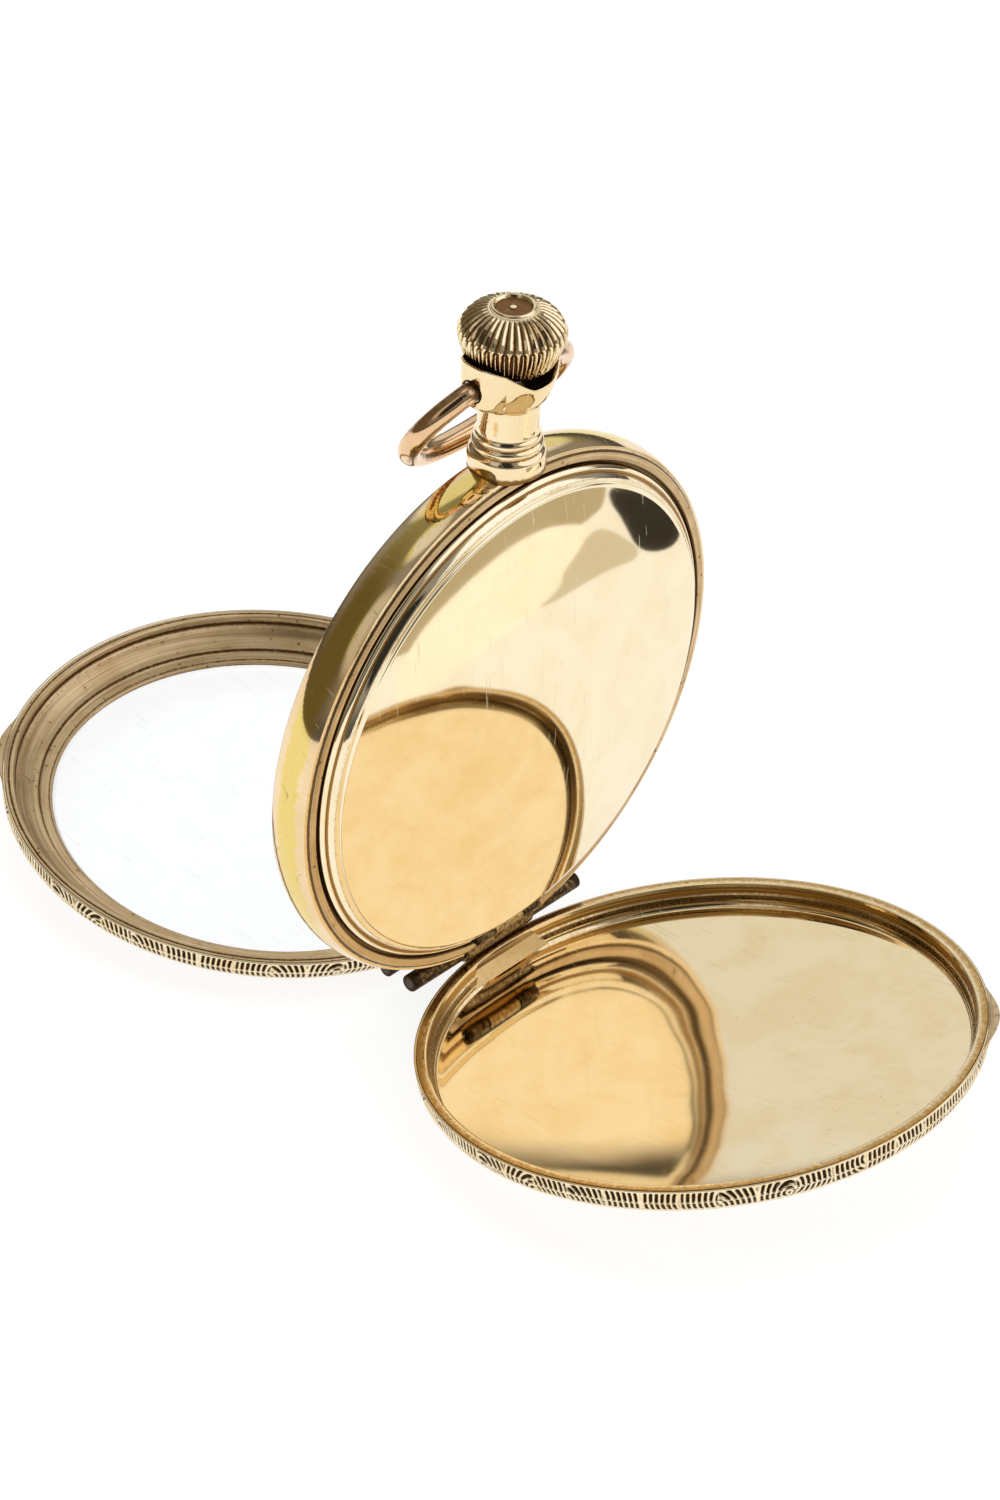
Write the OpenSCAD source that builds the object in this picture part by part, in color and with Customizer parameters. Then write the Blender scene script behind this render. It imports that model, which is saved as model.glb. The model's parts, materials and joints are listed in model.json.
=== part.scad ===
// Open-face pocket watch with a hinged glazed bezel, a hinged back cover and a hinged inner
// dust cover. It stands upright with both outer covers swung open.
// Frame: +Z towards the pendant, +Y towards the back of the watch, dial facing -Y,
// hinge pins along X. The origin is on the surface the watch stands on.

/* [Case] */
// Outer radius of the bezel and of the back cover
case_r = 28; // [27:0.1:29]
// Half of the case band's width
band_half = 2.4; // [2.2:0.05:2.6]
// How far the band bulges beyond the covers
band_bulge = 0.6; // [0.3:0.05:0.8]
// Width of the flat ring where a cover meets the band
rim_w = 1.3; // [1:0.05:1.6]
// Sheet thickness of the covers
sheet = 0.7; // [0.5:0.05:0.8]

/* [Covers] */
// How far the back cover is swung open, in degrees from closed
back_open = 78.7; // [60:0.1:80]
// How far the bezel is swung open, in degrees from closed
bezel_open = 85.7; // [70:0.1:87]
// Height of the covers' straight outer wall
cover_wall = 0.9; // [0.6:0.05:1.2]
// Radius of the rounded shoulder between wall and dome
shoulder_r = 2.3; // [1.8:0.1:2.6]
// Radius of the back cover's dome
dome_r = 140; // [120:1:170]
// Half length of a cover's lift lip, in degrees round the rim
lip_span = 11; // [6:1:15]
// Direction of the lift lips, in degrees from the pendant
lip_from_pendant = 39; // [30:1:50]

/* [Hinges] */
// Radius of the back hinge's knuckles
knuckle_r = 1.2; // [1:0.05:1.25]
// Half length of a hinge
hinge_half = 12; // [11:0.1:13]
// Half length of the knuckle that belongs to the cover
middle_half = 4.75; // [3:0.05:6]
// Radius of the hinge pins
pin_r = 0.5; // [0.4:0.05:0.6]

/* [Pendant, bow and crown] */
// Height of the bow's pivot above the centre of the case
pivot_z = 38.3; // [37.5:0.1:39]
// Forward swing of the hanging bow, in degrees from straight down
bow_hang = 30.5; // [30.5:0.5:40]
// Half width of the bow's centre line
bow_w = 9.7; // [9:0.1:10.5]
// Half height of the bow's centre line
bow_h = 6.6; // [6:0.1:7.5]
// Wire radius of the bow
bow_wire = 1.1; // [0.9:0.05:1.2]
// Largest radius of the crown
crown_r = 5.15; // [4.8:0.05:5.3]
// Number of flutes round the crown
crown_flutes = 36; // [24:2:40]

/* [Dial and hands] */
// Radius of the dial
dial_r = 22.3; // [21.8:0.1:22.4]
// Distance of the seconds hand's centre below the dial's centre
seconds_drop = 11; // [10.8:0.1:11.2]
// Hour shown by the hands
shown_hour = 10; // [0:1:11]
// Minute shown by the hands
shown_minute = 9; // [0:1:59]

/* [Train] */
// Teeth of the mainspring barrel
barrel_n = 72; // [72:12:84]
// Leaves of the centre pinion
centre_p = 12; // [12:1:12]
// Teeth of the centre wheel
centre_n = 80; // [80:1:80]
// Leaves of the third and fourth pinions
small_p = 10; // [10:1:10]
// Teeth of the third wheel
third_n = 75; // [75:1:75]
// Teeth of the fourth wheel
fourth_n = 80; // [80:1:80]
// Leaves of the escape pinion
escape_p = 8; // [8:1:8]

/* [Hidden] */
$fn = 96;

eps = 0.01;
gap = 0.05;

// Colours
gold = [0.83, 0.66, 0.38];
rose_gold = [0.80, 0.60, 0.42];
nickel = [0.78, 0.77, 0.74];
gilt = [0.85, 0.70, 0.38];
steel = [0.70, 0.71, 0.73];
blued = [0.10, 0.14, 0.38];
enamel = [0.95, 0.94, 0.90];
ruby = [0.75, 0.12, 0.25];

// Hinge axes in the case's own frame, [y, z]
back_axis = [band_half - 1.25, -27.9];
front_axis = [0.3 - band_half, -case_r];
inner_axis = [2.95, -25.6];
front_inset = -(front_axis[0] + band_half);
front_knuckle_r = 1.1;
inner_knuckle_r = 0.55;
inner_pin_r = 0.25;
inner_hinge_half = 4.5;
inner_middle_half = 2;

// Height of a dome that is tangent to a rounded shoulder on a straight wall
function dome_height(rim, wall, round_r, sphere_r) =
    wall + sphere_r - sqrt(pow(sphere_r - round_r, 2) - pow(rim - round_r, 2));

// The watch stands on the shoulder of the open back cover, next to the hinge
back_inset = band_half - back_axis[0];
tilt = 90 - back_open;
shoulder_out = -back_axis[1] - (case_r - shoulder_r);
stand_z = back_axis[1] + shoulder_out * sin(tilt) - (back_inset + cover_wall) * cos(tilt) - shoulder_r;

// Moves the origin midway between the far edges of the two open covers
centre_y = 0.8;

// Levels of the movement along +Y
dial_back = -2.5;
dial_front = -3.2;
plate_front = -2.3;
plate_back = -0.9;
bridge_front = 1.1;
bridge_back = 2.1;
wheel_lo = 2.15;
wheel_hi = 2.65;
plate_r = 22.2;
pocket_r = 5.4;
pocket_back = -1.45;
ledge_y = -1.4;
case_screw_x = 23.4;

// Pitch radii of the train, from the tooth counts
barrel_pr = 8.6;
centre_pp = barrel_pr * centre_p / barrel_n;
centre_pr = 7;
third_pp = centre_pr * small_p / centre_n;
third_pr = 6;
fourth_pp = third_pr * small_p / third_n;
fourth_pr = 5.2;
escape_pp = fourth_pr * escape_p / fourth_n;

// Winding work: pinion, crown wheel and ratchet wheel share one pitch
wind_p = 14;
wind_pr = 2.2;
crown_wheel_n = 28;
crown_wheel_pr = wind_pr * crown_wheel_n / wind_p;
ratchet_n = 42;
ratchet_pr = wind_pr * ratchet_n / wind_p;
wind_z = 19.2;

// Motion work under the dial
cannon_p = 12;
minute_n = 36;
minute_p = 10;
hour_n = 40;
cannon_pr = 0.9;
minute_pr = cannon_pr * minute_n / cannon_p;
hour_pr = (cannon_pr + minute_pr) * hour_n / (hour_n + minute_p);
minute_pp = (cannon_pr + minute_pr) - hour_pr;

// One of the two points at distance ra from a and rb from b; side picks which
function meet(a, ra, b, rb, side) =
    let (v = b - a, d = norm(v), u = (ra * ra - rb * rb + d * d) / (2 * d))
    let (h = side * sqrt(ra * ra - u * u))
    a + v * u / d + [-v[1], v[0]] * h / d;

function heading(a, b) = atan2(b[1] - a[1], b[0] - a[0]);

// Angle of a tooth of gear b that meshes with gear a, which has a tooth at angle alpha
function mesh(alpha, na, a, b, nb) =
    let (t = heading(a, b))
    t + 180 + (180 - (alpha - t) * na) / nb;

function arc(c, r, a0, a1, n) =
    [for (i = [0:n]) let (a = a0 + (a1 - a0) * i / n) [c[0] + r * cos(a), c[1] + r * sin(a)]];

// Plan of the movement, seen from the back, pendant upwards
centre = [0, 0];
fourth = [0, -seconds_drop];
crown_wheel_at = [0, wind_z - crown_wheel_pr];
barrel = meet(centre, barrel_pr + centre_pp, crown_wheel_at, crown_wheel_pr + ratchet_pr, -1);
third = meet(centre, centre_pr + third_pp, fourth, third_pr + fourth_pp, -1);
balance = [9.6, -9.2];
balance_r = 6.9;
balance_room = 7.7;
inner_cover_top = 6.2;
escape = fourth + (fourth_pr + escape_pp) * [cos(-52), sin(-52)];
escape_r = 3.1;
pallet = escape + 4 * (balance - escape) / norm(balance - escape);
cock_foot = [17.2, -2.6];
minute_at = (cannon_pr + minute_pr) * [cos(150), sin(150)];
click_at = barrel + [-8.7, 2.2];

pillar_spots = [[-14, 12.5], [12.8, 15.9], [19.6, 3.4], [-19.3, -4.5], [-9.5, -16.5]];
foot_screw = cock_foot + [0.5, 0.4];
bridge_split = -2;

ear_x = 5.3;
bow_pin_r = 0.85;

jewel_r = 0.6;
pivot_r = 0.18;
jewel_spots = [third, fourth, escape];
stud_at = balance + 3.35 * (cock_foot - balance) / norm(cock_foot - balance);
click_tip = barrel + (ratchet_pr + 0.6) * [cos(186), sin(186)];
click_side = let (v = (click_tip - click_at) / norm(click_tip - click_at)) [-v[1], v[0]];

// A pallet stone's place on the escape wheel's circle, on either side of the line of centres
function stone_at(s) =
    let (a = heading(escape, pallet) + s * 30)
    escape + (escape_r + 0.75) * [cos(a), sin(a)];

// Tooth angles that put every pair in mesh
centre_turn = heading(centre, third);
third_pinion_turn = mesh(centre_turn, centre_n, centre, third, small_p);
third_turn = heading(third, fourth);
fourth_pinion_turn = mesh(third_turn, third_n, third, fourth, small_p);
fourth_turn = heading(fourth, escape);
escape_pinion_turn = mesh(fourth_turn, fourth_n, fourth, escape, escape_p);
barrel_turn = heading(barrel, centre);
centre_pinion_turn = mesh(barrel_turn, barrel_n, barrel, centre, centre_p);
crown_wheel_turn = 90 + 180 / crown_wheel_n;
ratchet_turn = mesh(crown_wheel_turn, crown_wheel_n, crown_wheel_at, barrel, ratchet_n);
cannon_turn = heading(centre, minute_at);
minute_turn = mesh(cannon_turn, cannon_p, centre, minute_at, minute_n);
minute_pinion_turn = heading(minute_at, centre);
hour_turn = mesh(minute_pinion_turn, minute_p, minute_at, centre, hour_n);

// ---------- placing ----------

module placed() {
    translate([0, centre_y, -stand_z])
        children();
}

// Drawn as seen from the back: x to the viewer's right, y towards the pendant, z towards the back
module from_back() {
    placed()
        rotate([90, 0, 180])
            children();
}

// Turns a cover about its hinge axis; a positive angle swings its top backwards
module swung(axis, angle) {
    translate([0, axis[0], axis[1]])
        rotate([-angle, 0, 0])
            translate([0, -axis[0], -axis[1]])
                children();
}

module at_back_cover() {
    placed()
        swung(back_axis, back_open)
            translate([0, band_half, 0])
                rotate([-90, 0, 0])
                    children();
}

module at_bezel() {
    placed()
        swung(front_axis, -bezel_open)
            translate([0, -band_half, 0])
                rotate([90, 0, 0])
                    children();
}

module along_x(axis, r, from_x, to_x) {
    translate([from_x, axis[0], axis[1]])
        rotate([0, 90, 0])
            cylinder(h = to_x - from_x, r = r);
}

module both_ends(axis, r, from_x, to_x) {
    along_x(axis, r, from_x, to_x);
    along_x(axis, r, -to_x, -from_x);
}

module at(p, z = 0) {
    translate([p[0], p[1], z])
        children();
}

module ring(r_out, r_in, h) {
    difference() {
        cylinder(h = h, r = r_out);
        translate([0, 0, -1])
            cylinder(h = h + 2, r = r_in);
    }
}

// ---------- case ----------

// Bulging outer face of the band
bulge_r = (pow(band_half, 2) + pow(band_bulge, 2)) / (2 * band_bulge);
bulge_angle = asin(band_half / bulge_r);
band_face = arc([case_r + band_bulge - bulge_r, 0], bulge_r, -bulge_angle, bulge_angle, 7);

module band_outline() {
    polygon(concat(
        band_face,
        [[case_r - rim_w, band_half], [case_r - rim_w, 1.9], [24.9, 1.9], [24.9, ledge_y],
         [22.5, ledge_y], [22.5, dial_front], [25.9, dial_front], [26.3, -2.9], [26.3, -band_half]]
    ));
}

// Room for the knuckle in the middle of a hinge and for the leaf that joins it to its cover
module back_notch() {
    along_x(back_axis, knuckle_r + 0.15, -middle_half - 0.1, middle_half + 0.1);
    translate([-middle_half - 0.1, back_axis[0], back_axis[1] - 2])
        cube([2 * middle_half + 0.2, 3, 3.25]);
}

module case_band() {
    color(gold)
        placed()
            difference() {
                union() {
                    rotate([-90, 0, 0])
                        rotate_extrude()
                            band_outline();
                    both_ends(back_axis, knuckle_r, middle_half + 0.1, hinge_half);
                    both_ends(front_axis, front_knuckle_r, middle_half + 0.1, hinge_half);
                    inner_knuckle_posts();
                }
                back_notch();
                along_x(front_axis, front_knuckle_r + 0.15, -middle_half - 0.1, middle_half + 0.1);
                along_x(back_axis, pin_r + gap, -hinge_half - 1, hinge_half + 1);
                along_x(front_axis, pin_r + gap, -hinge_half - 1, hinge_half + 1);
                along_x(inner_axis, inner_pin_r + gap, -inner_hinge_half - 1, inner_hinge_half + 1);
                translate([0, 0, 20])
                    cylinder(h = 12, r = 1.3);
                for (side = [-1, 1])
                    translate([side * case_screw_x, ledge_y - 1.3, 0])
                        rotate([-90, 0, 0])
                            cylinder(h = 1.4, r = 0.5);
            }
}

// Posts that carry the inner cover's hinge on the band's back face
module inner_knuckle_posts() {
    both_ends(inner_axis, inner_knuckle_r, inner_middle_half + 0.1, inner_hinge_half);
    for (side = [-1, 1])
        translate([side * (inner_middle_half + inner_hinge_half + 0.1) / 2, 0, 0])
            translate([-(inner_hinge_half - inner_middle_half - 0.1) / 2, 1.5, inner_axis[1] - 0.45])
                cube([inner_hinge_half - inner_middle_half - 0.1, 1.4, 0.9]);
}

module pendant_outline() {
    polygon([
        [2, 27.6], [3.7, 27.6], [3.75, 29.2], [3.65, 30.3], [3.35, 30.6], [3.55, 31.0], [3.45, 31.4],
        [3.2, 31.6], [3.35, 31.9], [3.25, 32.3], [2.95, 32.6], [3.0, 34.4], [3.4, 35.6],
        [4.1, 36.8], [4.45, 38.2], [4.6, 41.2], [2, 41.2]
    ]);
}

// Room for the crown's underside inside the cup
module cup_room() {
    rotate_extrude()
        polygon([[0, 38.2], [3.45, 38.2], [3.95, 38.9], [4.85, 40.9], [4.85, 42], [0, 42]]);
}

module pendant_ears() {
    intersection() {
        along_x([0, pivot_z], 2.9, -ear_x, ear_x);
        rotate_extrude()
            polygon([[0, 35.6], [3.4, 35.6], [5.5, 37], [5.5, 41.2], [0, 41.2]]);
    }
}

// Rim of the cup: low at the front and back, high at the ears
module rim_scoop() {
    for (side = [-1, 1])
        along_x([side * 6.6, pivot_z + 5.1], 5.4, -8, 8);
}

module pendant() {
    color(gold)
        placed()
            difference() {
                union() {
                    rotate_extrude()
                        pendant_outline();
                    pendant_ears();
                }
                rim_scoop();
                cup_room();
                translate([0, 0, 27])
                    cylinder(h = 13, r = 2);
                translate([0, -6, 0])
                    rotate([-90, 0, 0])
                        cylinder(h = 12, r = case_r + 0.25);
                along_x([0, pivot_z], bow_pin_r + gap, -6, 6);
            }
}

module pendant_sleeve() {
    color(nickel)
        placed()
            translate([0, 0, 29])
                ring(2 - eps, 1.45, 9);
}

// Path of half the bow's centre line, [across, away from the pivot]
function bow_point(t) = [bow_w * cos(t), bow_h * (0.83 + sin(t))];

function bow_ring(p, dir, r, n) =
    [for (i = [0:n - 1]) let (a = 360 * i / n)
        [p[0] - dir[1] * r * cos(a), r * sin(a), -(p[1] + dir[0] * r * cos(a))]];

bow_start = -52;
bow_steps = 44;
bow_sides = 14;
bow_angles = [for (i = [0:bow_steps]) bow_start + (180 - 2 * bow_start) * i / bow_steps];
bow_dirs = [for (t = bow_angles) let (d = [-bow_w * sin(t), bow_h * cos(t)]) d / norm(d)];

// The wire is thickest far from the pivot
function bow_radius(i) = bow_wire * (0.92 + 0.12 * sin(180 * i / bow_steps));

module bow_wire_loop() {
    rings = [for (i = [0:bow_steps])
        bow_ring(bow_point(bow_angles[i]), bow_dirs[i], bow_radius(i), bow_sides)];
    sides = [for (i = [0:bow_steps - 1]) for (j = [0:bow_sides - 1])
        let (a = i * bow_sides + j, b = i * bow_sides + (j + 1) % bow_sides)
        [a, a + bow_sides, b + bow_sides, b]];
    first = [[for (j = [0:bow_sides - 1]) j]];
    last = [[for (j = [0:bow_sides - 1]) (bow_steps + 1) * bow_sides - 1 - j]];
    polyhedron(points = [for (r = rings) each r], faces = concat(sides, first, last));
}

module bow() {
    color(rose_gold)
        placed()
            translate([0, 0, pivot_z])
                rotate([-bow_hang, 0, 0])
                    union() {
                        bow_wire_loop();
                        both_ends([0, 0], bow_pin_r, 4.2, 6.2);
                    }
}

module crown_outline() {
    polygon([
        [0, 39.3], [3.2, 39.3], [3.7, 39.8], [4.45, 41.2], [4.9, 42.1], [4.95, 42.8],
        [4.6, 43.7], [3.9, 44.5], [3.0, 45.1], [2.15, 45.4], [2.1, 45.55], [1.9, 45.55],
        [1.75, 45.2], [0.4, 45.2], [0.3, 45.3], [0, 45.3]
    ]);
}

module crown() {
    points = [for (i = [0:2 * crown_flutes - 1])
        let (a = 180 * i / crown_flutes, r = i % 2 == 0 ? crown_r : crown_r - 0.45)
        [r * cos(a), r * sin(a)]];
    color(gold)
        placed()
            union() {
                rotate_extrude()
                    crown_outline();
                intersection() {
                    translate([0, 0, 41])
                        linear_extrude(height = 2.6)
                            polygon(points);
                    rotate_extrude()
                        polygon([[0, 40.6], [4.3, 40.6], [5.3, 42.1], [5.3, 42.9], [4.4, 44.2], [0, 44.2]]);
                }
            }
}

module crown_stem() {
    color(steel)
        placed()
            union() {
                translate([0, 0, 33])
                    cylinder(h = 6.3, r = 1.4);
                translate([-0.6, -0.6, 24])
                    cube([1.2, 1.2, 9.1]);
            }
}

// ---------- covers ----------

// Outer face of a cover, from the rim to the middle of the dome
function dome_outline(rim, wall, round_r, sphere_r) =
    let (edge = asin((rim - round_r) / (sphere_r - round_r)))
    let (top = [0, dome_height(rim, wall, round_r, sphere_r) - sphere_r])
    concat(arc([rim - round_r, wall], round_r, 0, 90 - edge, 8), arc(top, sphere_r, 90 - edge, 90, 10));

function reversed(list) = [for (i = [len(list) - 1:-1:0]) list[i]];

module back_cover_outline() {
    inner = dome_outline(case_r - sheet, cover_wall, shoulder_r - sheet, dome_r - sheet);
    polygon(concat(
        [[case_r, 0]],
        dome_outline(case_r, cover_wall, shoulder_r, dome_r),
        reversed(inner),
        [[case_r - rim_w, 0.75], [case_r - rim_w, 0]]
    ));
}

// Lip that a thumbnail lifts, on the rim in the given direction
module lip(direction) {
    rotate([0, 0, direction - lip_span])
        rotate_extrude(angle = 2 * lip_span)
            polygon([[case_r - 0.5, 0.02], [case_r + 1.5, 0.15], [case_r + 1.5, 0.45], [case_r - 0.5, 1.2]]);
}

module back_cover() {
    color(gold)
        at_back_cover()
            difference() {
                union() {
                    rotate_extrude()
                        back_cover_outline();
                    lip(-90 - lip_from_pendant);
                    cover_leaf();
                }
                translate([-20, -back_axis[1], -back_inset])
                    rotate([0, 90, 0])
                        cylinder(h = 40, r = pin_r + gap);
            }
}

// Knuckle of the back cover and the leaf that joins it to the rim
module cover_leaf() {
    translate([-middle_half, -back_axis[1], -back_inset])
        rotate([0, 90, 0])
            cylinder(h = 2 * middle_half, r = knuckle_r);
    translate([-middle_half, -back_axis[1] - 1.1, -back_inset])
        cube([2 * middle_half, 1.2, back_inset + 0.75]);
}

module bezel_outline() {
    shoulder = arc([case_r - shoulder_r, cover_wall], shoulder_r, 0, 62, 6);
    polygon(concat(
        [[case_r, 0]],
        shoulder,
        [[25.2, 3.4], [24.1, 3.6], [23.6, 3.9], [23.05, 3.9], [23.05, 3.75], [23.4, 3.7], [23.4, 3.3],
         [22.75, 3.3], [22.75, 3.05], [24.0, 2.8], [24.3, 2.3], [25.6, 2.0], [26.2, 1.2],
         [26.7, 0.9], [26.7, 0]]
    ));
}

// The bezel's hinge line, in the bezel's own frame
module at_front_knuckle(from_x) {
    translate([from_x, front_axis[1], front_inset])
        rotate([0, 90, 0])
            children();
}

module front_bezel() {
    color(gold)
        at_bezel()
            difference() {
                union() {
                    difference() {
                        union() {
                            rotate_extrude()
                                bezel_outline();
                            lip(90 - lip_from_pendant);
                        }
                        at_front_knuckle(-hinge_half - 0.15)
                            cylinder(h = 2 * hinge_half + 0.3, r = front_knuckle_r + 0.1);
                    }
                    at_front_knuckle(-middle_half)
                        cylinder(h = 2 * middle_half, r = front_knuckle_r);
                    translate([-middle_half, front_axis[1], front_inset])
                        cube([2 * middle_half, 1.1, 1.5]);
                }
                at_front_knuckle(-20)
                    cylinder(h = 40, r = pin_r + gap);
            }
}

// Drop of a sphere's surface below its top
function sag(r, sphere_r) = sphere_r - sqrt(sphere_r * sphere_r - r * r);

module crystal() {
    seat = 3.32;
    glass_r = 23.35;
    clear_r = 22.6;
    glass_sphere = 260;
    inner = [for (i = [0:8]) let (r = clear_r * i / 8)
        [r, seat + 0.05 + sag(clear_r, glass_sphere) - sag(r, glass_sphere)]];
    outer = [for (p = reversed(inner)) [p[0] * 22.95 / clear_r, p[1] + 0.5]];
    color([0.80, 0.86, 0.90, 0.35])
        at_bezel()
            rotate_extrude()
                polygon(concat(inner,
                               [[22.9, seat], [glass_r, seat], [glass_r, 3.66], [23.02, 3.66]],
                               outer));
}

module inner_cover_outline() {
    sphere_r = 122;
    edge = asin(25.1 / sphere_r);
    top = [0, inner_cover_top - sphere_r];
    polygon(concat(
        [[24.9, 1.95], [26.4, 1.95], [26.4, 2.3], [26.2, 2.65], [25.85, 2.7], [25.7, 2.85], [25.4, 3.45]],
        arc(top, sphere_r, 90 - edge, 90, 12),
        arc(top, sphere_r - 0.5, 90, 90 - edge, 12)
    ));
}

module inner_cover() {
    color(gold)
        placed()
            difference() {
                union() {
                    difference() {
                        rotate([-90, 0, 0])
                            rotate_extrude()
                                inner_cover_outline();
                        along_x(inner_axis, inner_knuckle_r + 0.15,
                                -inner_hinge_half - 0.1, inner_hinge_half + 0.1);
                        translate([-inner_hinge_half - 0.1, 1, -28])
                            cube([2 * inner_hinge_half + 0.2, inner_axis[0] - 1, 28 + inner_axis[1] + 0.6]);
                    }
                    along_x(inner_axis, inner_knuckle_r, -inner_middle_half, inner_middle_half);
                    translate([-inner_middle_half, inner_axis[0] - 0.3, inner_axis[1]])
                        cube([2 * inner_middle_half, 0.7, 1.1]);
                }
                along_x(inner_axis, inner_pin_r + gap, -9, 9);
            }
}

module hinge_pin(axis, r, half) {
    color(steel)
        placed()
            along_x(axis, r, -half, half);
}

module back_hinge_pin() {
    hinge_pin(back_axis, pin_r, hinge_half);
}

module front_hinge_pin() {
    hinge_pin(front_axis, pin_r, hinge_half);
}

module inner_hinge_pin() {
    hinge_pin(inner_axis, inner_pin_r, inner_hinge_half);
}

// ---------- dial and hands ----------

module dial() {
    color(enamel)
        from_back()
            difference() {
                translate([0, 0, dial_front])
                    cylinder(h = dial_back - dial_front, r = dial_r);
                translate([0, 0, dial_front - 1])
                    cylinder(h = 3, r = 1.3);
                at(fourth, dial_front - 1)
                    cylinder(h = 1.2, r = 5.6);
                at(fourth, dial_front - 1)
                    cylinder(h = 3, r = 0.5);
            }
}

// Turns a hand that is drawn pointing to 12 so that it points to the given clock angle
module clockwise(angle) {
    rotate([0, 0, angle])
        children();
}

// A spade hand drawn flat, pointing along +y
module spade_hand(length, width, hub_r, bore_r, thick) {
    linear_extrude(height = thick)
        difference() {
            union() {
                circle(r = hub_r);
                polygon([[-width / 2, 0], [width / 2, 0],
                         [width * 0.28, length * 0.66], [-width * 0.28, length * 0.66]]);
                translate([0, length * 0.7])
                    circle(r = width * 0.85);
                polygon([[-width * 0.7, length * 0.74], [width * 0.7, length * 0.74], [0, length]]);
            }
            circle(r = bore_r);
        }
}

module hour_hand() {
    color(blued)
        from_back()
            clockwise(30 * shown_hour + shown_minute / 2)
                mirror([1, 0, 0])
                    translate([0, 0, -3.75])
                        spade_hand(11.5, 1.1, 1.7, 1.11, 0.15);
}

module minute_hand() {
    color(blued)
        from_back()
            clockwise(6 * shown_minute)
                mirror([1, 0, 0])
                    translate([0, 0, -4.15])
                        spade_hand(18.5, 0.9, 1.4, 0.76, 0.15);
}

module seconds_hand() {
    color(blued)
        from_back()
            at(fourth, -3.42)
                linear_extrude(height = 0.12)
                    difference() {
                        union() {
                            circle(r = 0.55);
                            polygon([[-0.16, -1.8], [0.16, -1.8], [0.06, 4.4], [-0.06, 4.4]]);
                        }
                        circle(r = 0.21);
                    }
}

// ---------- plates and bridges ----------

module arbor_holes(from_z, h) {
    at(barrel, from_z)
        cylinder(h = h, r = 0.95);
    at(centre, from_z)
        cylinder(h = h, r = 0.5);
    for (p = jewel_spots)
        at(p, from_z)
            cylinder(h = h, r = jewel_r);
}

module stem_slot(from_z, h) {
    translate([-2.7, wind_z - 0.9, from_z])
        cube([5.4, 1.8, h]);
}

module pillar_plate() {
    color(nickel)
        from_back()
            difference() {
                union() {
                    translate([0, 0, plate_front])
                        cylinder(h = plate_back - plate_front, r = plate_r);
                    translate([0, 0, ledge_y + gap])
                        cylinder(h = plate_back - ledge_y - gap, r = 24.4);
                }
                difference() {
                    union() {
                        translate([0, 0, plate_front - 1])
                            cylinder(h = pocket_back - plate_front + 1, r = pocket_r);
                        at(minute_at, plate_front - 1)
                            cylinder(h = pocket_back - plate_front + 1, r = minute_pr + 0.5);
                    }
                    at(minute_at, -2.4)
                        cylinder(h = 1.5, r = 0.3);
                }
                arbor_holes(plate_front - 1, 4);
                at(balance, plate_front - 1)
                    cylinder(h = 4, r = jewel_r);
                at(pallet, plate_front - 1)
                    cylinder(h = 4, r = jewel_r);
                stem_slot(plate_front - 1, 4);
                for (side = [-1, 1])
                    translate([side * case_screw_x, 0, -2])
                        cylinder(h = 2, r = 0.5);
            }
}

module pillars() {
    color(nickel)
        from_back()
            for (p = pillar_spots)
                at(p, plate_back)
                    ring(1.2, 0.55, bridge_front - plate_back);
}

// Upper plate of the movement, without the room that the balance needs
module upper_plate() {
    difference() {
        translate([0, 0, bridge_front])
            cylinder(h = bridge_back - bridge_front, r = 21.6);
        at(balance, 0)
            cylinder(h = 4, r = balance_room);
        at(cock_foot, 0)
            cylinder(h = 4, r = 2.3);
        arbor_holes(0, 4);
        stem_slot(0, 4);
        for (p = pillar_spots)
            at(p, 0)
                cylinder(h = 4, r = 0.55);
        for (p = [crown_wheel_at, click_at])
            at(p, 0)
                cylinder(h = 4, r = 0.45);
    }
}

module barrel_bridge() {
    color(nickel)
        from_back()
            intersection() {
                upper_plate();
                translate([-30, bridge_split + 0.1, 0])
                    cube([60, 40, 4]);
            }
}

module train_bridge() {
    color(nickel)
        from_back()
            intersection() {
                upper_plate();
                translate([-30, bridge_split - 40.1, 0])
                    cube([35.5, 40, 4]);
            }
}

module balance_cock() {
    color(nickel)
        from_back()
            difference() {
                union() {
                    at(cock_foot, plate_back)
                        cylinder(h = wheel_lo - plate_back + 0.75, r = 2);
                    at(balance, wheel_lo)
                        cylinder(h = 0.75, r = 2.4);
                    at(cock_foot, wheel_lo)
                        rotate([0, 0, heading(cock_foot, balance)])
                            translate([0, -1.7, 0])
                                cube([norm(balance - cock_foot), 3.4, 0.7]);
                    at(stud_at, 1.7)
                        cylinder(h = 0.6, r = 0.3);
                }
                at(balance, 0)
                    cylinder(h = 4, r = jewel_r);
                at(foot_screw, plate_back - 1)
                    cylinder(h = 6, r = 0.55);
            }
}

module pallet_bridge() {
    foot_b = pallet + 3.4 * [cos(-45), sin(-45)];
    color(nickel)
        from_back()
            difference() {
                union() {
                    translate([0, 0, 0.45])
                        linear_extrude(height = 0.35)
                            union() {
                                translate(pallet)
                                    circle(r = 1);
                                translate(foot_b)
                                    circle(r = 1.1);
                                polygon([pallet + [0.7, 0.7], foot_b + [0.75, 0.75],
                                         foot_b - [0.75, 0.75], pallet - [0.7, 0.7]]);
                            }
                    at(foot_b, plate_back)
                        cylinder(h = 1.5, r = 1.1);
                }
                at(pallet, 0)
                    cylinder(h = 2, r = jewel_r);
            }
}

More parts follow.
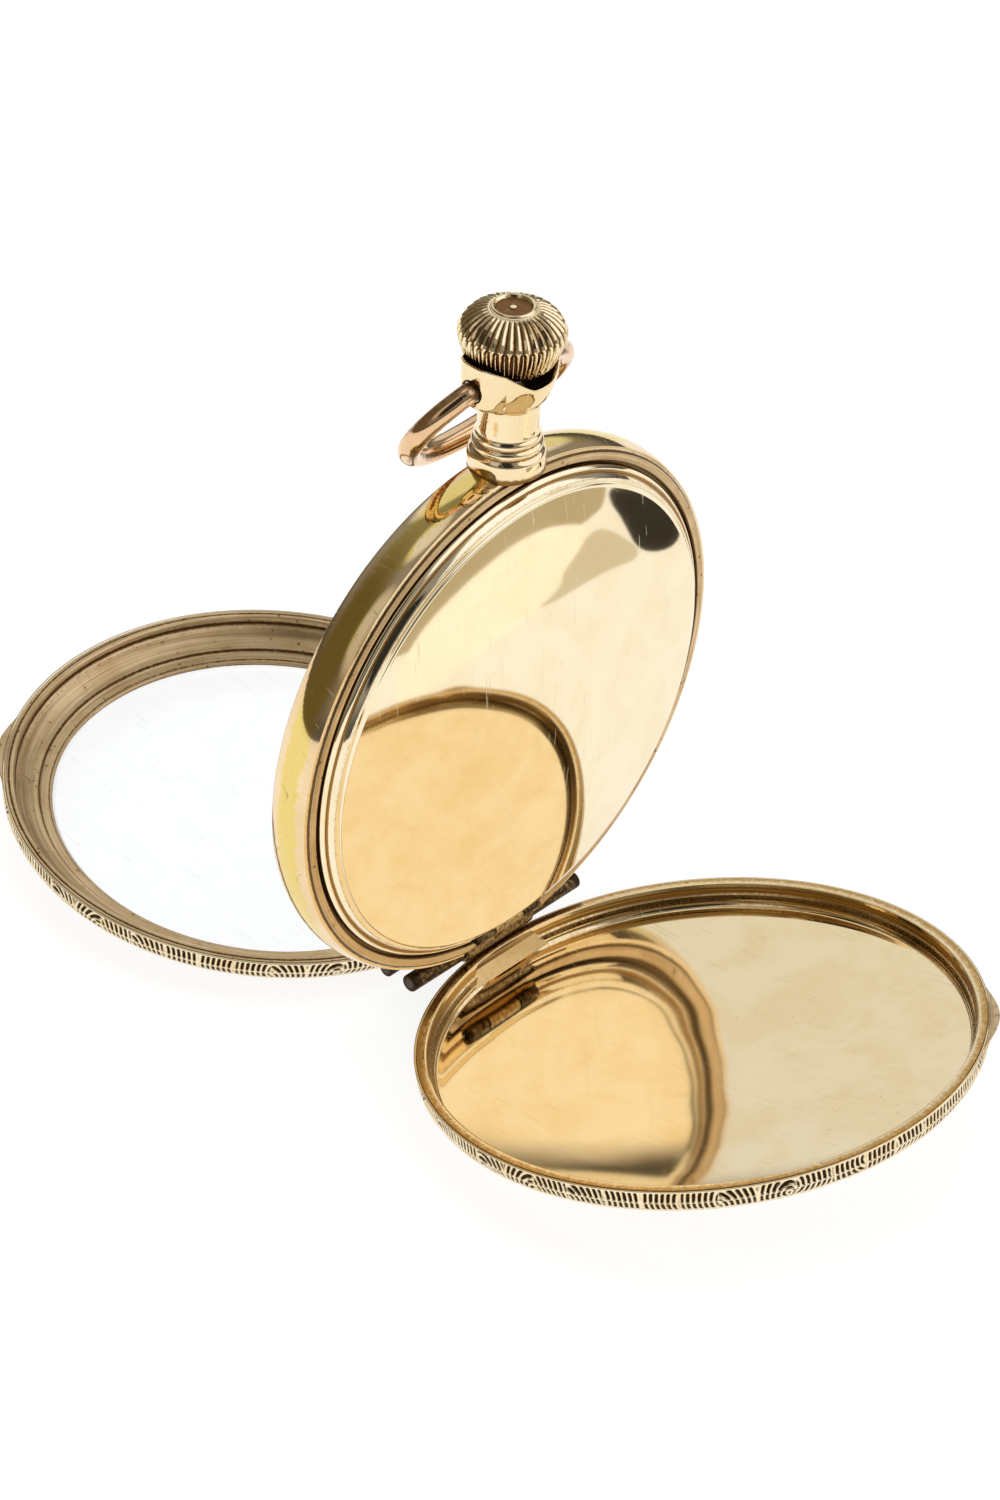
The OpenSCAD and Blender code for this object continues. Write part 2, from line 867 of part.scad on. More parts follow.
module slotted_screw(head_r, head_h, shank_r, shank_h) {
    difference() {
        union() {
            cylinder(h = head_h, r = head_r);
            translate([0, 0, -shank_h])
                cylinder(h = shank_h + 0.01, r = shank_r);
        }
        translate([-head_r - 1, -0.12, head_h * 0.5])
            cube([2 * head_r + 2, 0.24, head_h]);
    }
}

module bridge_screws() {
    color(blued)
        from_back() {
            for (p = pillar_spots)
                at(p, bridge_back)
                    rotate([0, 0, 30 * p[0]])
                        slotted_screw(1.1, 0.4, 0.5, 2.6);
            at(foot_screw, wheel_lo + 0.75)
                slotted_screw(1.1, 0.4, 0.5, 3.4);
        }
}

module case_screws() {
    color(blued)
        from_back()
            for (side = [-1, 1])
                translate([side * case_screw_x, 0, plate_back])
                    slotted_screw(0.9, 0.4, 0.45, 1.5);
}

// Hole jewels of the train, the pallet arbor and the balance staff
module jewels() {
    color(ruby)
        from_back() {
            for (p = jewel_spots) {
                at(p, plate_back - 0.4)
                    ring(jewel_r - eps, pivot_r + 0.04, 0.4);
                at(p, bridge_front)
                    ring(jewel_r - eps, pivot_r + 0.04, 0.4);
            }
            for (p = [pallet, balance])
                at(p, plate_back - 0.4)
                    ring(jewel_r - eps, pivot_r + 0.04, 0.4);
            at(pallet, 0.5)
                ring(jewel_r - eps, pivot_r + 0.04, 0.3);
            at(balance, wheel_lo + 0.1)
                ring(jewel_r - eps, pivot_r + 0.04, 0.4);
        }
}

// ---------- gears ----------

// Short slim teeth, so that meshed wheels turn past each other with clearance
module gear_plan(n, pr, add, ded, turn, width = 0.34) {
    pitch = 360 / n;
    polygon([for (i = [0:n - 1]) for (c = [[-0.5, 0], [-0.28, 1], [0.28, 1], [0.5, 0]])
        let (a = turn + pitch * (i + c[0] * width), r = c[1] == 1 ? pr + add : pr - ded)
        [r * cos(a), r * sin(a)]]);
}

module gear(n, pr, add, ded, turn, h, bore = 0) {
    linear_extrude(height = h)
        difference() {
            gear_plan(n, pr, add, ded, turn);
            if (bore > 0)
                circle(r = bore);
        }
}

// A wheel crossed out to a rim, arms and hub
module train_wheel(n, pr, add, turn, h, arms, hub_r) {
    rim_r = pr * 0.84;
    arm_w = pr * 0.12;
    linear_extrude(height = h)
        union() {
            difference() {
                gear_plan(n, pr, add, 2.2 * add, turn);
                circle(r = rim_r);
            }
            circle(r = hub_r);
            for (i = [0:arms - 1])
                rotate([0, 0, turn + 360 * (i + 0.5) / arms])
                    translate([0, -arm_w / 2])
                        square([rim_r + 0.05, arm_w]);
        }
}

// ---------- power and winding ----------

module mainspring_barrel() {
    color(gilt)
        from_back()
            at(barrel, -0.8)
                difference() {
                    union() {
                        gear(barrel_n, barrel_pr, 0.11, 0.3, barrel_turn, 0.45);
                        cylinder(h = 1.4, r = 8.1);
                    }
                    translate([0, 0, 0.25])
                        cylinder(h = 2, r = 7.75);
                    translate([0, 0, -1])
                        cylinder(h = 3, r = 1);
                }
}

module barrel_arbor() {
    color(steel)
        from_back()
            at(barrel) {
                translate([0, 0, -1.8])
                    cylinder(h = 1.4, r = 0.9);
                translate([0, 0, -0.45])
                    cylinder(h = 1.3, r = 1.6);
                translate([0, 0, 0.8])
                    cylinder(h = 1.35, r = 0.9);
                translate([-0.6, -0.6, wheel_lo - 0.05])
                    cube([1.2, 1.2, 0.5]);
            }
}

// A flat coil of strip in one plane
module coil(r0, r1, turns, thick, h) {
    steps = round(turns * 20);
    path = [for (i = [0:steps]) let (t = i / steps) [r0 + (r1 - r0) * t, 360 * turns * t]];
    linear_extrude(height = h)
        polygon(concat(
            [for (p = path) (p[0] + thick / 2) * [cos(p[1]), sin(p[1])]],
            [for (p = reversed(path)) (p[0] - thick / 2) * [cos(p[1]), sin(p[1])]]
        ));
}

module mainspring() {
    color(steel)
        from_back()
            at(barrel, -0.5)
                coil(2, 7.5, 9, 0.2, 1);
}

module ratchet_wheel() {
    color(nickel)
        from_back()
            at(barrel, wheel_lo)
                linear_extrude(height = wheel_hi - wheel_lo)
                    difference() {
                        gear_plan(ratchet_n, ratchet_pr, 0.3, 0.5, ratchet_turn, 0.3);
                        square([1.2 + 2 * eps, 1.2 + 2 * eps], center = true);
                    }
}

module ratchet_screw() {
    color(blued)
        from_back()
            at(barrel, wheel_hi)
                difference() {
                    cylinder(h = 0.3, r = 1.7);
                    translate([-2, -0.12, 0.15])
                        cube([4, 0.24, 1]);
                }
}

module crown_wheel() {
    color(nickel)
        from_back()
            at(crown_wheel_at, wheel_lo)
                linear_extrude(height = wheel_hi - wheel_lo)
                    difference() {
                        gear_plan(crown_wheel_n, crown_wheel_pr, 0.3, 0.7, crown_wheel_turn, 0.3);
                        circle(r = 0.9);
                    }
}

module crown_wheel_screw() {
    color(blued)
        from_back()
            at(crown_wheel_at, wheel_hi + gap)
                union() {
                    slotted_screw(1.6, 0.35, 0.85, 0.54);
                    translate([0, 0, -1.6])
                        cylinder(h = 1.2, r = 0.4);
                }
}

module click() {
    color(steel)
        from_back()
            translate([0, 0, wheel_lo])
                linear_extrude(height = 0.45)
                    difference() {
                        union() {
                            translate(click_at)
                                circle(r = 0.95);
                            translate(click_tip)
                                circle(r = 0.2);
                            polygon([click_at + 0.8 * click_side, click_at - 0.8 * click_side,
                                     click_tip - 0.18 * click_side, click_tip + 0.18 * click_side]);
                        }
                        translate(click_at)
                            circle(r = 0.5);
                    }
}

module click_screw() {
    color(blued)
        from_back()
            at(click_at, wheel_lo + 0.5)
                slotted_screw(0.8, 0.3, 0.42, 1.2);
}

module click_spring() {
    foot = click_at + [-3.2, -4.6];
    tip = click_tip - 1.35 * click_side;
    along = (tip - foot) / norm(tip - foot);
    side = [-along[1], along[0]];
    color(steel)
        from_back()
            translate([0, 0, bridge_back])
                linear_extrude(height = 0.3)
                    union() {
                        translate(foot)
                            circle(r = 0.8);
                        polygon([foot + 0.3 * side, foot - 0.3 * side, tip - 0.09 * side, tip + 0.09 * side]);
                    }
}

// Arbor in the movement that the crown's square shank turns, with the winding pinion on it
module winding_arbor() {
    color(steel)
        placed()
            difference() {
                union() {
                    translate([0, 0, 18])
                        cylinder(h = 10.5, r = 0.84);
                    translate([0, 0, wind_z - 0.6])
                        gear(wind_p, wind_pr, 0.25, 0.5, 90, 1.2);
                }
                translate([-0.65, -0.65, 23.5])
                    cube([1.3, 1.3, 6]);
            }
}

// ---------- going train ----------

module arbor(from_z, to_z, r) {
    translate([0, 0, from_z])
        cylinder(h = to_z - from_z, r = r);
}

module center_wheel() {
    color(gilt)
        from_back() {
            translate([0, 0, 0.7])
                train_wheel(centre_n, centre_pr, 0.08, centre_turn, 0.2, 5, 1.2);
            translate([0, 0, -0.85])
                gear(centre_p, centre_pp, 0.11, 0.22, centre_pinion_turn, 0.55);
            arbor(-4.1, 0.95, 0.45);
            arbor(0.9, 1.9, 0.35);
        }
}

// Arbor with thin pivots that run in the jewels of the plate and the bridge
module train_arbor(front, r) {
    arbor(plate_back + gap, bridge_front - gap, r);
    arbor(front, bridge_front + 0.4, pivot_r);
}

module third_wheel() {
    color(gilt)
        from_back()
            at(third) {
                translate([0, 0, -0.1])
                    train_wheel(third_n, third_pr, 0.075, third_turn, 0.2, 5, 0.9);
                translate([0, 0, 0.6])
                    gear(small_p, third_pp, 0.08, 0.17, third_pinion_turn, 0.4);
                train_arbor(plate_back - 0.4, 0.35);
            }
}

module fourth_wheel() {
    color(gilt)
        from_back()
            at(fourth) {
                translate([0, 0, -0.6])
                    train_wheel(fourth_n, fourth_pr, 0.06, fourth_turn, 0.2, 5, 0.8);
                translate([0, 0, -0.2])
                    gear(small_p, fourth_pp, 0.075, 0.16, fourth_pinion_turn, 0.4);
                train_arbor(-3.42, 0.3);
            }
}

module escape_wheel() {
    teeth = 15;
    color(steel)
        from_back()
            at(escape) {
                linear_extrude(height = 0.2)
                    union() {
                        difference() {
                            polygon([for (i = [0:teeth - 1])
                                for (c = [[0, 2.35], [0.1, 3.1], [0.32, 2.95], [0.45, 2.35]])
                                let (a = 360 * (i + c[0]) / teeth) c[1] * [cos(a), sin(a)]]);
                            circle(r = 1.9);
                        }
                        circle(r = 0.6);
                        for (i = [0:3])
                            rotate([0, 0, 90 * i])
                                translate([0, -0.15])
                                    square([1.95, 0.3]);
                    }
                translate([0, 0, -0.65])
                    gear(escape_p, escape_pp, 0.06, 0.13, escape_pinion_turn, 0.3);
                train_arbor(plate_back - 0.4, 0.25);
            }
}

// ---------- escapement and balance ----------

module pallet_fork() {
    to_balance = (balance - pallet) / norm(balance - pallet);
    side = [-to_balance[1], to_balance[0]];
    color(steel)
        from_back() {
            linear_extrude(height = 0.2)
                union() {
                    translate(pallet)
                        circle(r = 0.5);
                    for (s = [-1, 1]) {
                        polygon([pallet + 0.3 * to_balance, pallet - 0.3 * to_balance,
                                 stone_at(s) - 0.15 * to_balance, stone_at(s) + 0.25 * to_balance]);
                        polygon([pallet + 3.1 * to_balance + s * 0.12 * side,
                                 pallet + 3.1 * to_balance + s * 0.5 * side,
                                 pallet + 3.75 * to_balance + s * 0.45 * side,
                                 pallet + 3.6 * to_balance + s * 0.16 * side]);
                    }
                    polygon([pallet + 0.2 * side, pallet - 0.2 * side,
                             pallet + 3.15 * to_balance - 0.5 * side,
                             pallet + 3.15 * to_balance + 0.5 * side]);
                }
            at(pallet) {
                arbor(plate_back + gap, 0.45 - gap, 0.25);
                arbor(plate_back - 0.4, 0.8, pivot_r);
            }
        }
}

// The two pallet stones, just clear of the escape wheel's teeth
module pallet_stones() {
    color(ruby)
        from_back()
            for (s = [-1, 1])
                at(stone_at(s), 0)
                    rotate([0, 0, heading(stone_at(s), escape)])
                        translate([0.1, -0.12, -0.05])
                            cube([0.55, 0.24, 0.3]);
}

module balance_wheel() {
    color(gilt)
        from_back()
            at(balance, 1)
                union() {
                    difference() {
                        ring(balance_r, balance_r - 0.6, 0.6);
                        for (a = [12, 192])
                            rotate([0, 0, a])
                                translate([balance_r - 1, -0.1, -1])
                                    cube([2, 0.2, 3]);
                    }
                    translate([0, 0, 0.1])
                        linear_extrude(height = 0.3)
                            difference() {
                                union() {
                                    circle(r = 0.9);
                                    square([2 * balance_r - 1, 0.9], center = true);
                                }
                                circle(r = 0.36);
                            }
                }
}

module balance_screws() {
    color(gilt)
        from_back()
            at(balance, 1.3)
                for (a = [25:20:165], flip = [0, 180])
                    rotate([0, 0, a + flip])
                        translate([balance_r + eps, 0, 0])
                            rotate([0, 90, 0])
                                cylinder(h = 0.45, r = 0.28);
}

module balance_staff() {
    color(steel)
        from_back()
            at(balance) {
                arbor(plate_back + gap, wheel_lo - gap, 0.35);
                arbor(plate_back - 0.4, wheel_lo + 0.5, pivot_r);
                arbor(0.35, 0.6, 1.1);
                arbor(1.7, 2, 0.6);
            }
}

// Impulse pin under the roller table
module roller_jewel() {
    color(ruby)
        from_back()
            at(balance + 0.8 * (pallet - balance) / norm(pallet - balance), 0.25)
                cylinder(h = 0.1 - eps, r = 0.15);
}

module hairspring() {
    color(blued)
        from_back()
            at(balance, 1.72)
                rotate([0, 0, heading(balance, stud_at)])
                    coil(1, 3, 7, 0.1, 0.25);
}

// Index on the balance cock that sets the rate
module regulator() {
    color(steel)
        from_back()
            at(balance, wheel_lo + 0.8)
                linear_extrude(height = 0.2)
                    rotate([0, 0, 100])
                        difference() {
                            union() {
                                circle(r = 1.5);
                                polygon([[0, -0.6], [4.6, -0.12], [4.6, 0.12], [0, 0.6]]);
                            }
                            circle(r = 0.75);
                        }
}

// ---------- motion work ----------

module cannon_pinion() {
    color(steel)
        from_back() {
            translate([0, 0, -2.1])
                gear(cannon_p, cannon_pr, 0.07, 0.16, cannon_turn, 0.35, 0.46);
            translate([0, 0, -4.15])
                ring(0.75, 0.46, 2.1);
        }
}

module minute_wheel() {
    color(gilt)
        from_back()
            at(minute_at, -2.42)
                union() {
                    translate([0, 0, 0.37])
                        gear(minute_n, minute_pr, 0.07, 0.16, minute_turn, 0.25, 0.35);
                    gear(minute_p, minute_pp, 0.065, 0.14, minute_pinion_turn, 0.4, 0.35);
                }
}

module hour_wheel() {
    color(gilt)
        from_back()
            translate([0, 0, -2.42])
                union() {
                    gear(hour_n, hour_pr, 0.065, 0.14, hour_turn, 0.22, 0.8);
                    translate([0, 0, -1.33])
                        ring(1.1, 0.8, 1.34);
                }
}

case_band();
pendant();
pendant_sleeve();
bow();
crown();
crown_stem();
front_bezel();
crystal();
back_cover();
inner_cover();
back_hinge_pin();
front_hinge_pin();
inner_hinge_pin();
dial();
hour_hand();
minute_hand();
seconds_hand();
pillar_plate();
pillars();
barrel_bridge();
train_bridge();
balance_cock();
pallet_bridge();
bridge_screws();
case_screws();
jewels();
mainspring_barrel();
barrel_arbor();
mainspring();
ratchet_wheel();
ratchet_screw();
crown_wheel();
crown_wheel_screw();
click();
click_screw();
click_spring();
winding_arbor();
center_wheel();
third_wheel();
fourth_wheel();
escape_wheel();
pallet_fork();
pallet_stones();
balance_wheel();
balance_screws();
balance_staff();
roller_jewel();
hairspring();
regulator();
cannon_pinion();
hour_wheel();
minute_wheel();
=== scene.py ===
"""Looks of an open-face pocket watch that stands on its open covers.

Lengths are in millimetres until a mesh is made, and metres from there on. Covers and bezel are
drawn in their own frame: z = 0 at the rim that meets the case, z growing towards the outside.
"""
import json
import math

import bmesh
import bpy
import numpy as np
from mathutils import Matrix, Vector


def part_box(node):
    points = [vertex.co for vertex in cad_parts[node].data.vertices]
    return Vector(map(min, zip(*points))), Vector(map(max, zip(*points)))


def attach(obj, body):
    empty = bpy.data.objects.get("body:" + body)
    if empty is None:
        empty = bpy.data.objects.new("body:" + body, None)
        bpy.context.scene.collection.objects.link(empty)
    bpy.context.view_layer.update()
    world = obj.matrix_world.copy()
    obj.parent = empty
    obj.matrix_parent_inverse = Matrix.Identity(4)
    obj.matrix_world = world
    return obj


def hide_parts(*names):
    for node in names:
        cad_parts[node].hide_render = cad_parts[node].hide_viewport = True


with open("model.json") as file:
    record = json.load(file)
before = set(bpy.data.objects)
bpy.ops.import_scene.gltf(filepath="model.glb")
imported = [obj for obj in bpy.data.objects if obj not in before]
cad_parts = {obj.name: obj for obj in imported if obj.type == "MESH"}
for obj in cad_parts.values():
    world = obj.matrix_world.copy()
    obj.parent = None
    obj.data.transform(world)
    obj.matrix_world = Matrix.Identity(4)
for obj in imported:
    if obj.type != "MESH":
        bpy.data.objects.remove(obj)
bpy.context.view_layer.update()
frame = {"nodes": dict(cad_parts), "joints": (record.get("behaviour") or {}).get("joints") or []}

MM = 0.001
TAU = 2 * math.pi

# ---------- sizes shared with the CAD parts ----------

CASE_R = 28.0
BAND_HALF = 2.4
BAND_BULGE = 0.6
ROOM_IN_BOX = 0.015
RIM_W = 1.3
SHEET = 0.7
WALL = 0.9
SHOULDER_R = 2.3
SUNK = 0.04         # how far inside the CAD outline a cover's sheet is drawn
DOME_R = 140.0
LIP_SPAN = 12.0
LIP_REACH = 0.9
LIP_FROM_PENDANT = 39.0
KNUCKLE_R = 1.2
FRONT_KNUCKLE_R = 1.1
INNER_KNUCKLE_R = 0.55
HINGE_HALF = 12.0
MIDDLE_HALF = 4.75
PIN_BORE = 0.52
INNER_BORE = 0.27
INNER_HINGE_HALF = 4.5
INNER_MIDDLE_HALF = 2.0
HINGE_GAP = 0.1
KNUCKLE_ROOM = MIDDLE_HALF + HINGE_GAP
SLIM = 0.28         # how much slimmer than in the CAD the worn outer knuckles are
NOTCH_GAP = 0.15
LEAF_HALF = 8.0
LEAF_THICK = 0.35
WEAR = 0.012         # depth of the dents and of the wobble of worn faces
DIAL_BACK = -2.5
DIAL_FRONT = -3.2
DIAL_R = 22.3
SECONDS_DROP = 11.0
SECONDS_R = 4.35
SINK_R = 5.75
SINK = 0.16
MINUTE_R = 20.1
NUMERAL_R = 16.6
NUMERAL_H = 3.9
INNER_TOP = 6.2
COLLAR_FOOT = 27.9
GROOVES = (30.35, 31.28)
NECK_TOP = 34.3
CUP_FLOOR = 38.2
CUP_DIP = 38.55
EAR_RISE = 2.45
CROWN_FLUTES = 36
CROWN_FOOT = 39.2
CROWN_SHOULDER = 43.0
TEETH_LENGTH = 2.9
EAR_X = 5.3
BOW_W = 9.7
BOW_H = 6.6
BOW_WIRE = 1.1
BOW_START = -44.0
BOW_HANG = 30.5

# ---------- places, from the frame ----------

joints = {j["name"]: j for j in frame["joints"]}
dial_low, dial_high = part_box("dial")
CENTRE = Vector((0, dial_high.y - DIAL_BACK * MM, (dial_low.z + dial_high.z) / 2))
CASE = Matrix.Translation(CENTRE)


def local_place(joint):
    """A joint's place in the case's own frame, in millimetres."""
    return (Vector(joints[joint]["pos_m"]) - CENTRE) / MM


BACK_AXIS = local_place("back_cover_hinge")
FRONT_AXIS = local_place("front_bezel_hinge")
INNER_AXIS = local_place("inner_cover_hinge")
PIVOT = local_place("bow_swing")


def opened(joint, closed):
    """The matrix of a cover that is drawn closed and stands open at rest."""
    hinge = joints[joint]
    there = Matrix.Translation(Vector(hinge["pos_m"]))
    turn = Matrix.Rotation(-math.radians(hinge["range_deg"][0]), 4, Vector(hinge["axis"]))
    return there @ turn @ there.inverted() @ closed


BACK = opened("back_cover_hinge",
              CASE @ Matrix.Translation((0, BAND_HALF * MM, 0)) @ Matrix.Rotation(-math.pi / 2, 4, "X"))
BEZEL = opened("front_bezel_hinge",
               CASE @ Matrix.Translation((0, -BAND_HALF * MM, 0)) @ Matrix.Rotation(math.pi / 2, 4, "X"))
# Lathe axis along the case's +Y, and the dial side seen from the front with x to the right
FACING_BACK = CASE @ Matrix.Rotation(-math.pi / 2, 4, "X")
FACING_FRONT = CASE @ Matrix.Rotation(math.pi / 2, 4, "X")

# ---------- camera ----------

CAMERA_AZIMUTH = math.radians(131.79)
CAMERA_ELEVATION = math.radians(37.17)
CAMERA_ROLL = math.radians(2.78)
CAMERA_DISTANCE = 0.4938
CAMERA_AIM_RIGHT = 0.0005
CAMERA_AIM_UP = -0.0046
CAMERA_LENS = 122.14


def add_camera():
    cos_azimuth, sin_azimuth = math.cos(CAMERA_AZIMUTH), math.sin(CAMERA_AZIMUTH)
    cos_elevation = math.cos(CAMERA_ELEVATION)
    back = Vector((sin_azimuth * cos_elevation, -cos_azimuth * cos_elevation, math.sin(CAMERA_ELEVATION)))
    level = Vector((cos_azimuth, sin_azimuth, 0))
    rise = back.cross(level)
    right = math.cos(CAMERA_ROLL) * level + math.sin(CAMERA_ROLL) * rise
    up = back.cross(right)
    data = bpy.data.cameras.new("camera")
    data.lens = CAMERA_LENS
    data.sensor_width = 36
    data.clip_start = 0.01
    data.clip_end = 20
    camera = bpy.data.objects.new("camera", data)
    place = CENTRE + CAMERA_AIM_RIGHT * right + CAMERA_AIM_UP * up + CAMERA_DISTANCE * back
    camera.matrix_world = Matrix.Translation(place) @ Matrix((right, up, back)).transposed().to_4x4()
    bpy.context.scene.collection.objects.link(camera)
    bpy.context.scene.camera = camera


add_camera()

# ---------- material nodes ----------

MATERIALS = {}


class Nodes:
    """The shader nodes that the materials use, under short names, with places in millimetres."""

    def __init__(self, name, on_cad=False):
        material = bpy.data.materials.new(name)
        material.use_nodes = True
        MATERIALS[name] = material
        self.tree = material.node_tree
        self.tree.nodes.clear()
        self.shader = self.tree.nodes.new("ShaderNodeBsdfPrincipled")
        output = self.tree.nodes.new("ShaderNodeOutputMaterial")
        self.tree.links.new(self.shader.outputs[0], output.inputs[0])
        if on_cad:
            coordinates = self.node("TexCoord", {}, "Object")
            self.place = self.node("VectorMath", {0: coordinates, "Scale": 1 / MM}, operation="SCALE")
        else:
            self.place = self.attribute("local", "Vector")

    def put(self, socket, value):
        if isinstance(value, bpy.types.NodeSocket):
            self.tree.links.new(value, socket)
        elif socket.type == "RGBA":
            socket.default_value = (*value, 1.0)
        else:
            socket.default_value = value

    def set(self, **values):
        for name, value in values.items():
            self.put(self.shader.inputs[name.replace("_", " ")], value)

    def node(self, kind, inputs, output=0, **settings):
        """Adds a node with its settings and inputs, and returns one of its outputs."""
        made = self.tree.nodes.new("ShaderNode" + kind)
        for name, value in settings.items():
            setattr(made, name, value)
        for key, value in inputs.items():
            self.put(made.inputs[key], value)
        return made.outputs[output]

    def math(self, operation, *values):
        return self.node("Math", dict(enumerate(values)), operation=operation)

    def times(self, a, b):
        return self.math("MULTIPLY", a, b)

    def total(self, base, *terms):
        """base plus the sum of value times weight over the terms."""
        for value, weight in terms:
            base = self.math("ADD", base, self.times(value, weight))
        return base

    def steps(self, value, low, high, to_low=0.0, to_high=1.0):
        """value from low..high mapped smoothly to to_low..to_high, and held there outside."""
        return self.node("MapRange", dict(enumerate((value, low, high, to_low, to_high))),
                         interpolation_type="SMOOTHSTEP")

    def noise(self, scale, detail=3.0, place=None, distortion=0.0, roughness=0.55):
        inputs = {"Vector": self.place if place is None else place, "Scale": scale, "Detail": detail,
                  "Distortion": distortion, "Roughness": roughness}
        return self.node("TexNoise", inputs, "Fac")

    def spots(self, scale, size, place=None):
        """1 inside small round spots, one in each cell of a random grid."""
        inputs = {"Vector": self.place if place is None else place, "Scale": scale}
        return self.steps(self.node("TexVoronoi", inputs, "Distance"), size, size * 0.5)

    def colours(self, fac, a, b):
        return self.node("Mix", {0: fac, 6: a, 7: b}, 2, data_type="RGBA")

    def attribute(self, name, output="Fac"):
        return self.node("Attribute", {}, output, attribute_name=name)

    def split(self):
        return self.node("SeparateXYZ", {0: self.place}).node.outputs

    def joined(self, x, y, z):
        return self.node("CombineXYZ", {0: x, 1: y, 2: z})

    def shifted(self, *offset):
        return self.node("VectorMath", {0: self.place, 1: offset}, operation="ADD")

    def polar(self, around, across):
        """Coordinates that run round the local z axis: streaks become circles."""
        x, y, z = self.split()
        radius = self.node("VectorMath", {0: self.joined(x, y, 0.0)}, "Value", operation="LENGTH")
        angle = self.math("ARCTAN2", y, x)
        return self.joined(self.times(angle, around), self.times(radius, across), self.times(z, across))

    def turned(self, degrees, stretch):
        """Coordinates turned about all axes and stretched, for straight streaks in one direction."""
        rotation = [math.radians(d) for d in degrees]
        return self.node("Mapping", {"Vector": self.place, "Rotation": rotation, "Scale": stretch})

    def bump(self, height, distance):
        return self.node("Bump", {"Height": height, "Distance": distance * MM, "Strength": 1.0})


def scratches(n, seed, amount):
    """Fine straight scratches in three directions, 0 or 1, fewer for a larger amount."""
    found = 0.0
    for i in range(3):
        place = n.turned((17 * i + seed, 31 * i + 2 * seed, 50 * i + 3 * seed), (7.0, 0.14, 0.14))
        found = n.math("MAXIMUM", found, n.steps(n.noise(1.0, 1.0, place), amount, amount + 0.02))
    return found


def aged_metal(name, light, deep, tarnish_and_shade, roughness, seed, streaks=0.0, patches=0.35, wear=0.74,
               grime_and_shade_gain=1.0, pits=0.05, crest_highlight=None):
    """Polished metal with colour patches, grime and painted shade where the mesh says, turning streaks, pits
    and scratches.

    The crest colour is a painted highlight: a yellower stripe within about 1 mm of height 0, along the crest
    of the bulge.
    """
    n = Nodes(name)
    shifted = n.shifted(seed, 2.3 * seed, -1.7 * seed)
    cloud = n.noise(0.16, 4.0, shifted, 0.6)
    fine = n.noise(2.6, 5.0, shifted, 0.3)
    # the mesh's darkening attribute holds grime and painted shade in grooves, gaps and recesses
    dirt_and_shade = n.steps(n.total(0.0, (n.attribute("grime_and_shade"), 1.2 * grime_and_shade_gain), (fine, 0.8)), 0.62, 1.25)
    stain = n.steps(n.noise(0.55, 6.0, shifted, 1.4, 0.7), 0.6, 0.78, 0.0, patches)
    spot = n.times(n.spots(0.9, pits, shifted), n.steps(cloud, 0.42, 0.6))
    scratch = scratches(n, seed, wear)
    circles = n.noise(1.0, 4.0, n.polar(1.6, 5.5), 0.0, 0.65)
    colour = n.colours(n.steps(cloud, 0.35, 0.7), light, deep)
    # painted highlight: a ragged yellower stripe along the crest
    if crest_highlight:
        ragged = n.noise(0.6, 6.0, shifted, 1.5, 0.65)
        uneven = n.total(n.math("ABSOLUTE", n.split()[2]), (ragged, 2.2))
        colour = n.colours(n.steps(uneven, 2.1, 2.4), crest_highlight, colour)
    colour = n.colours(n.times(n.steps(circles, 0.35, 0.75), streaks), colour, tarnish_and_shade)
    colour = n.colours(stain, colour, tarnish_and_shade)
    colour = n.colours(n.math("MAXIMUM", dirt_and_shade, n.times(spot, 0.85)), colour, tarnish_and_shade)
    rough = n.total(roughness, (dirt_and_shade, 0.3), (stain, 0.25), (scratch, 0.12), (circles, 0.25 * streaks))
    crust = n.times(n.noise(5.0, 2.0, shifted), dirt_and_shade)
    height = n.total(0.0, (circles, streaks), (scratch, -0.7), (spot, -2.0), (crust, 0.8))
    n.set(Base_Color=colour, Metallic=1.0, Roughness=rough, Normal=n.bump(height, 0.006))


# near-black tarnish of the hinges; at full grime it also paints the shadow round the bow holes
DARK = (0.045, 0.025, 0.012)


def metals():
    # the band's crest colour is a painted highlight
    aged_metal("band_gold", (0.90, 0.70, 0.43), (0.84, 0.62, 0.34), (0.15, 0.085, 0.03), 0.06, 3.0,
               streaks=0.05, patches=0.75, crest_highlight=(0.84, 0.64, 0.21))
    aged_metal("inner_cover_gold", (0.95, 0.82, 0.57), (0.92, 0.77, 0.50), (0.36, 0.19, 0.05), 0.05, 11.0,
               patches=0.06, wear=0.77)
    aged_metal("back_cover_gold", (0.89, 0.73, 0.46), (0.86, 0.67, 0.38), (0.50, 0.27, 0.06), 0.05, 23.0,
               patches=0.12, wear=0.76, pits=0.06)
    aged_metal("bezel_gold", (0.80, 0.59, 0.33), (0.66, 0.46, 0.23), (0.16, 0.08, 0.025), 0.32, 31.0,
               streaks=0.5, patches=0.85, pits=0.2)
    aged_metal("chased_gold", (0.95, 0.80, 0.54), (0.88, 0.70, 0.42), (0.045, 0.022, 0.007), 0.2, 41.0,
               patches=0.1, wear=0.8, grime_and_shade_gain=0.95)
    aged_metal("pendant_gold", (0.94, 0.77, 0.50), (0.90, 0.70, 0.38), (0.28, 0.14, 0.035), 0.05, 53.0,
               streaks=0.06, patches=0.2)
    aged_metal("crown_gold", (0.97, 0.80, 0.50), (0.92, 0.72, 0.42), (0.22, 0.10, 0.03), 0.1, 61.0,
               patches=0.25, wear=0.78, grime_and_shade_gain=1.3)
    aged_metal("bow_rose_gold", (0.86, 0.59, 0.34), (0.74, 0.46, 0.25), (0.16, 0.08, 0.035), 0.1, 71.0,
               patches=0.5)
    aged_metal("hinge_gold", (0.66, 0.45, 0.19), (0.50, 0.32, 0.12), DARK, 0.16, 83.0, patches=0.8)
    aged_metal("hinge_pin_steel", (0.10, 0.08, 0.06), (0.06, 0.05, 0.04), DARK, 0.45, 89.0, patches=0.8)


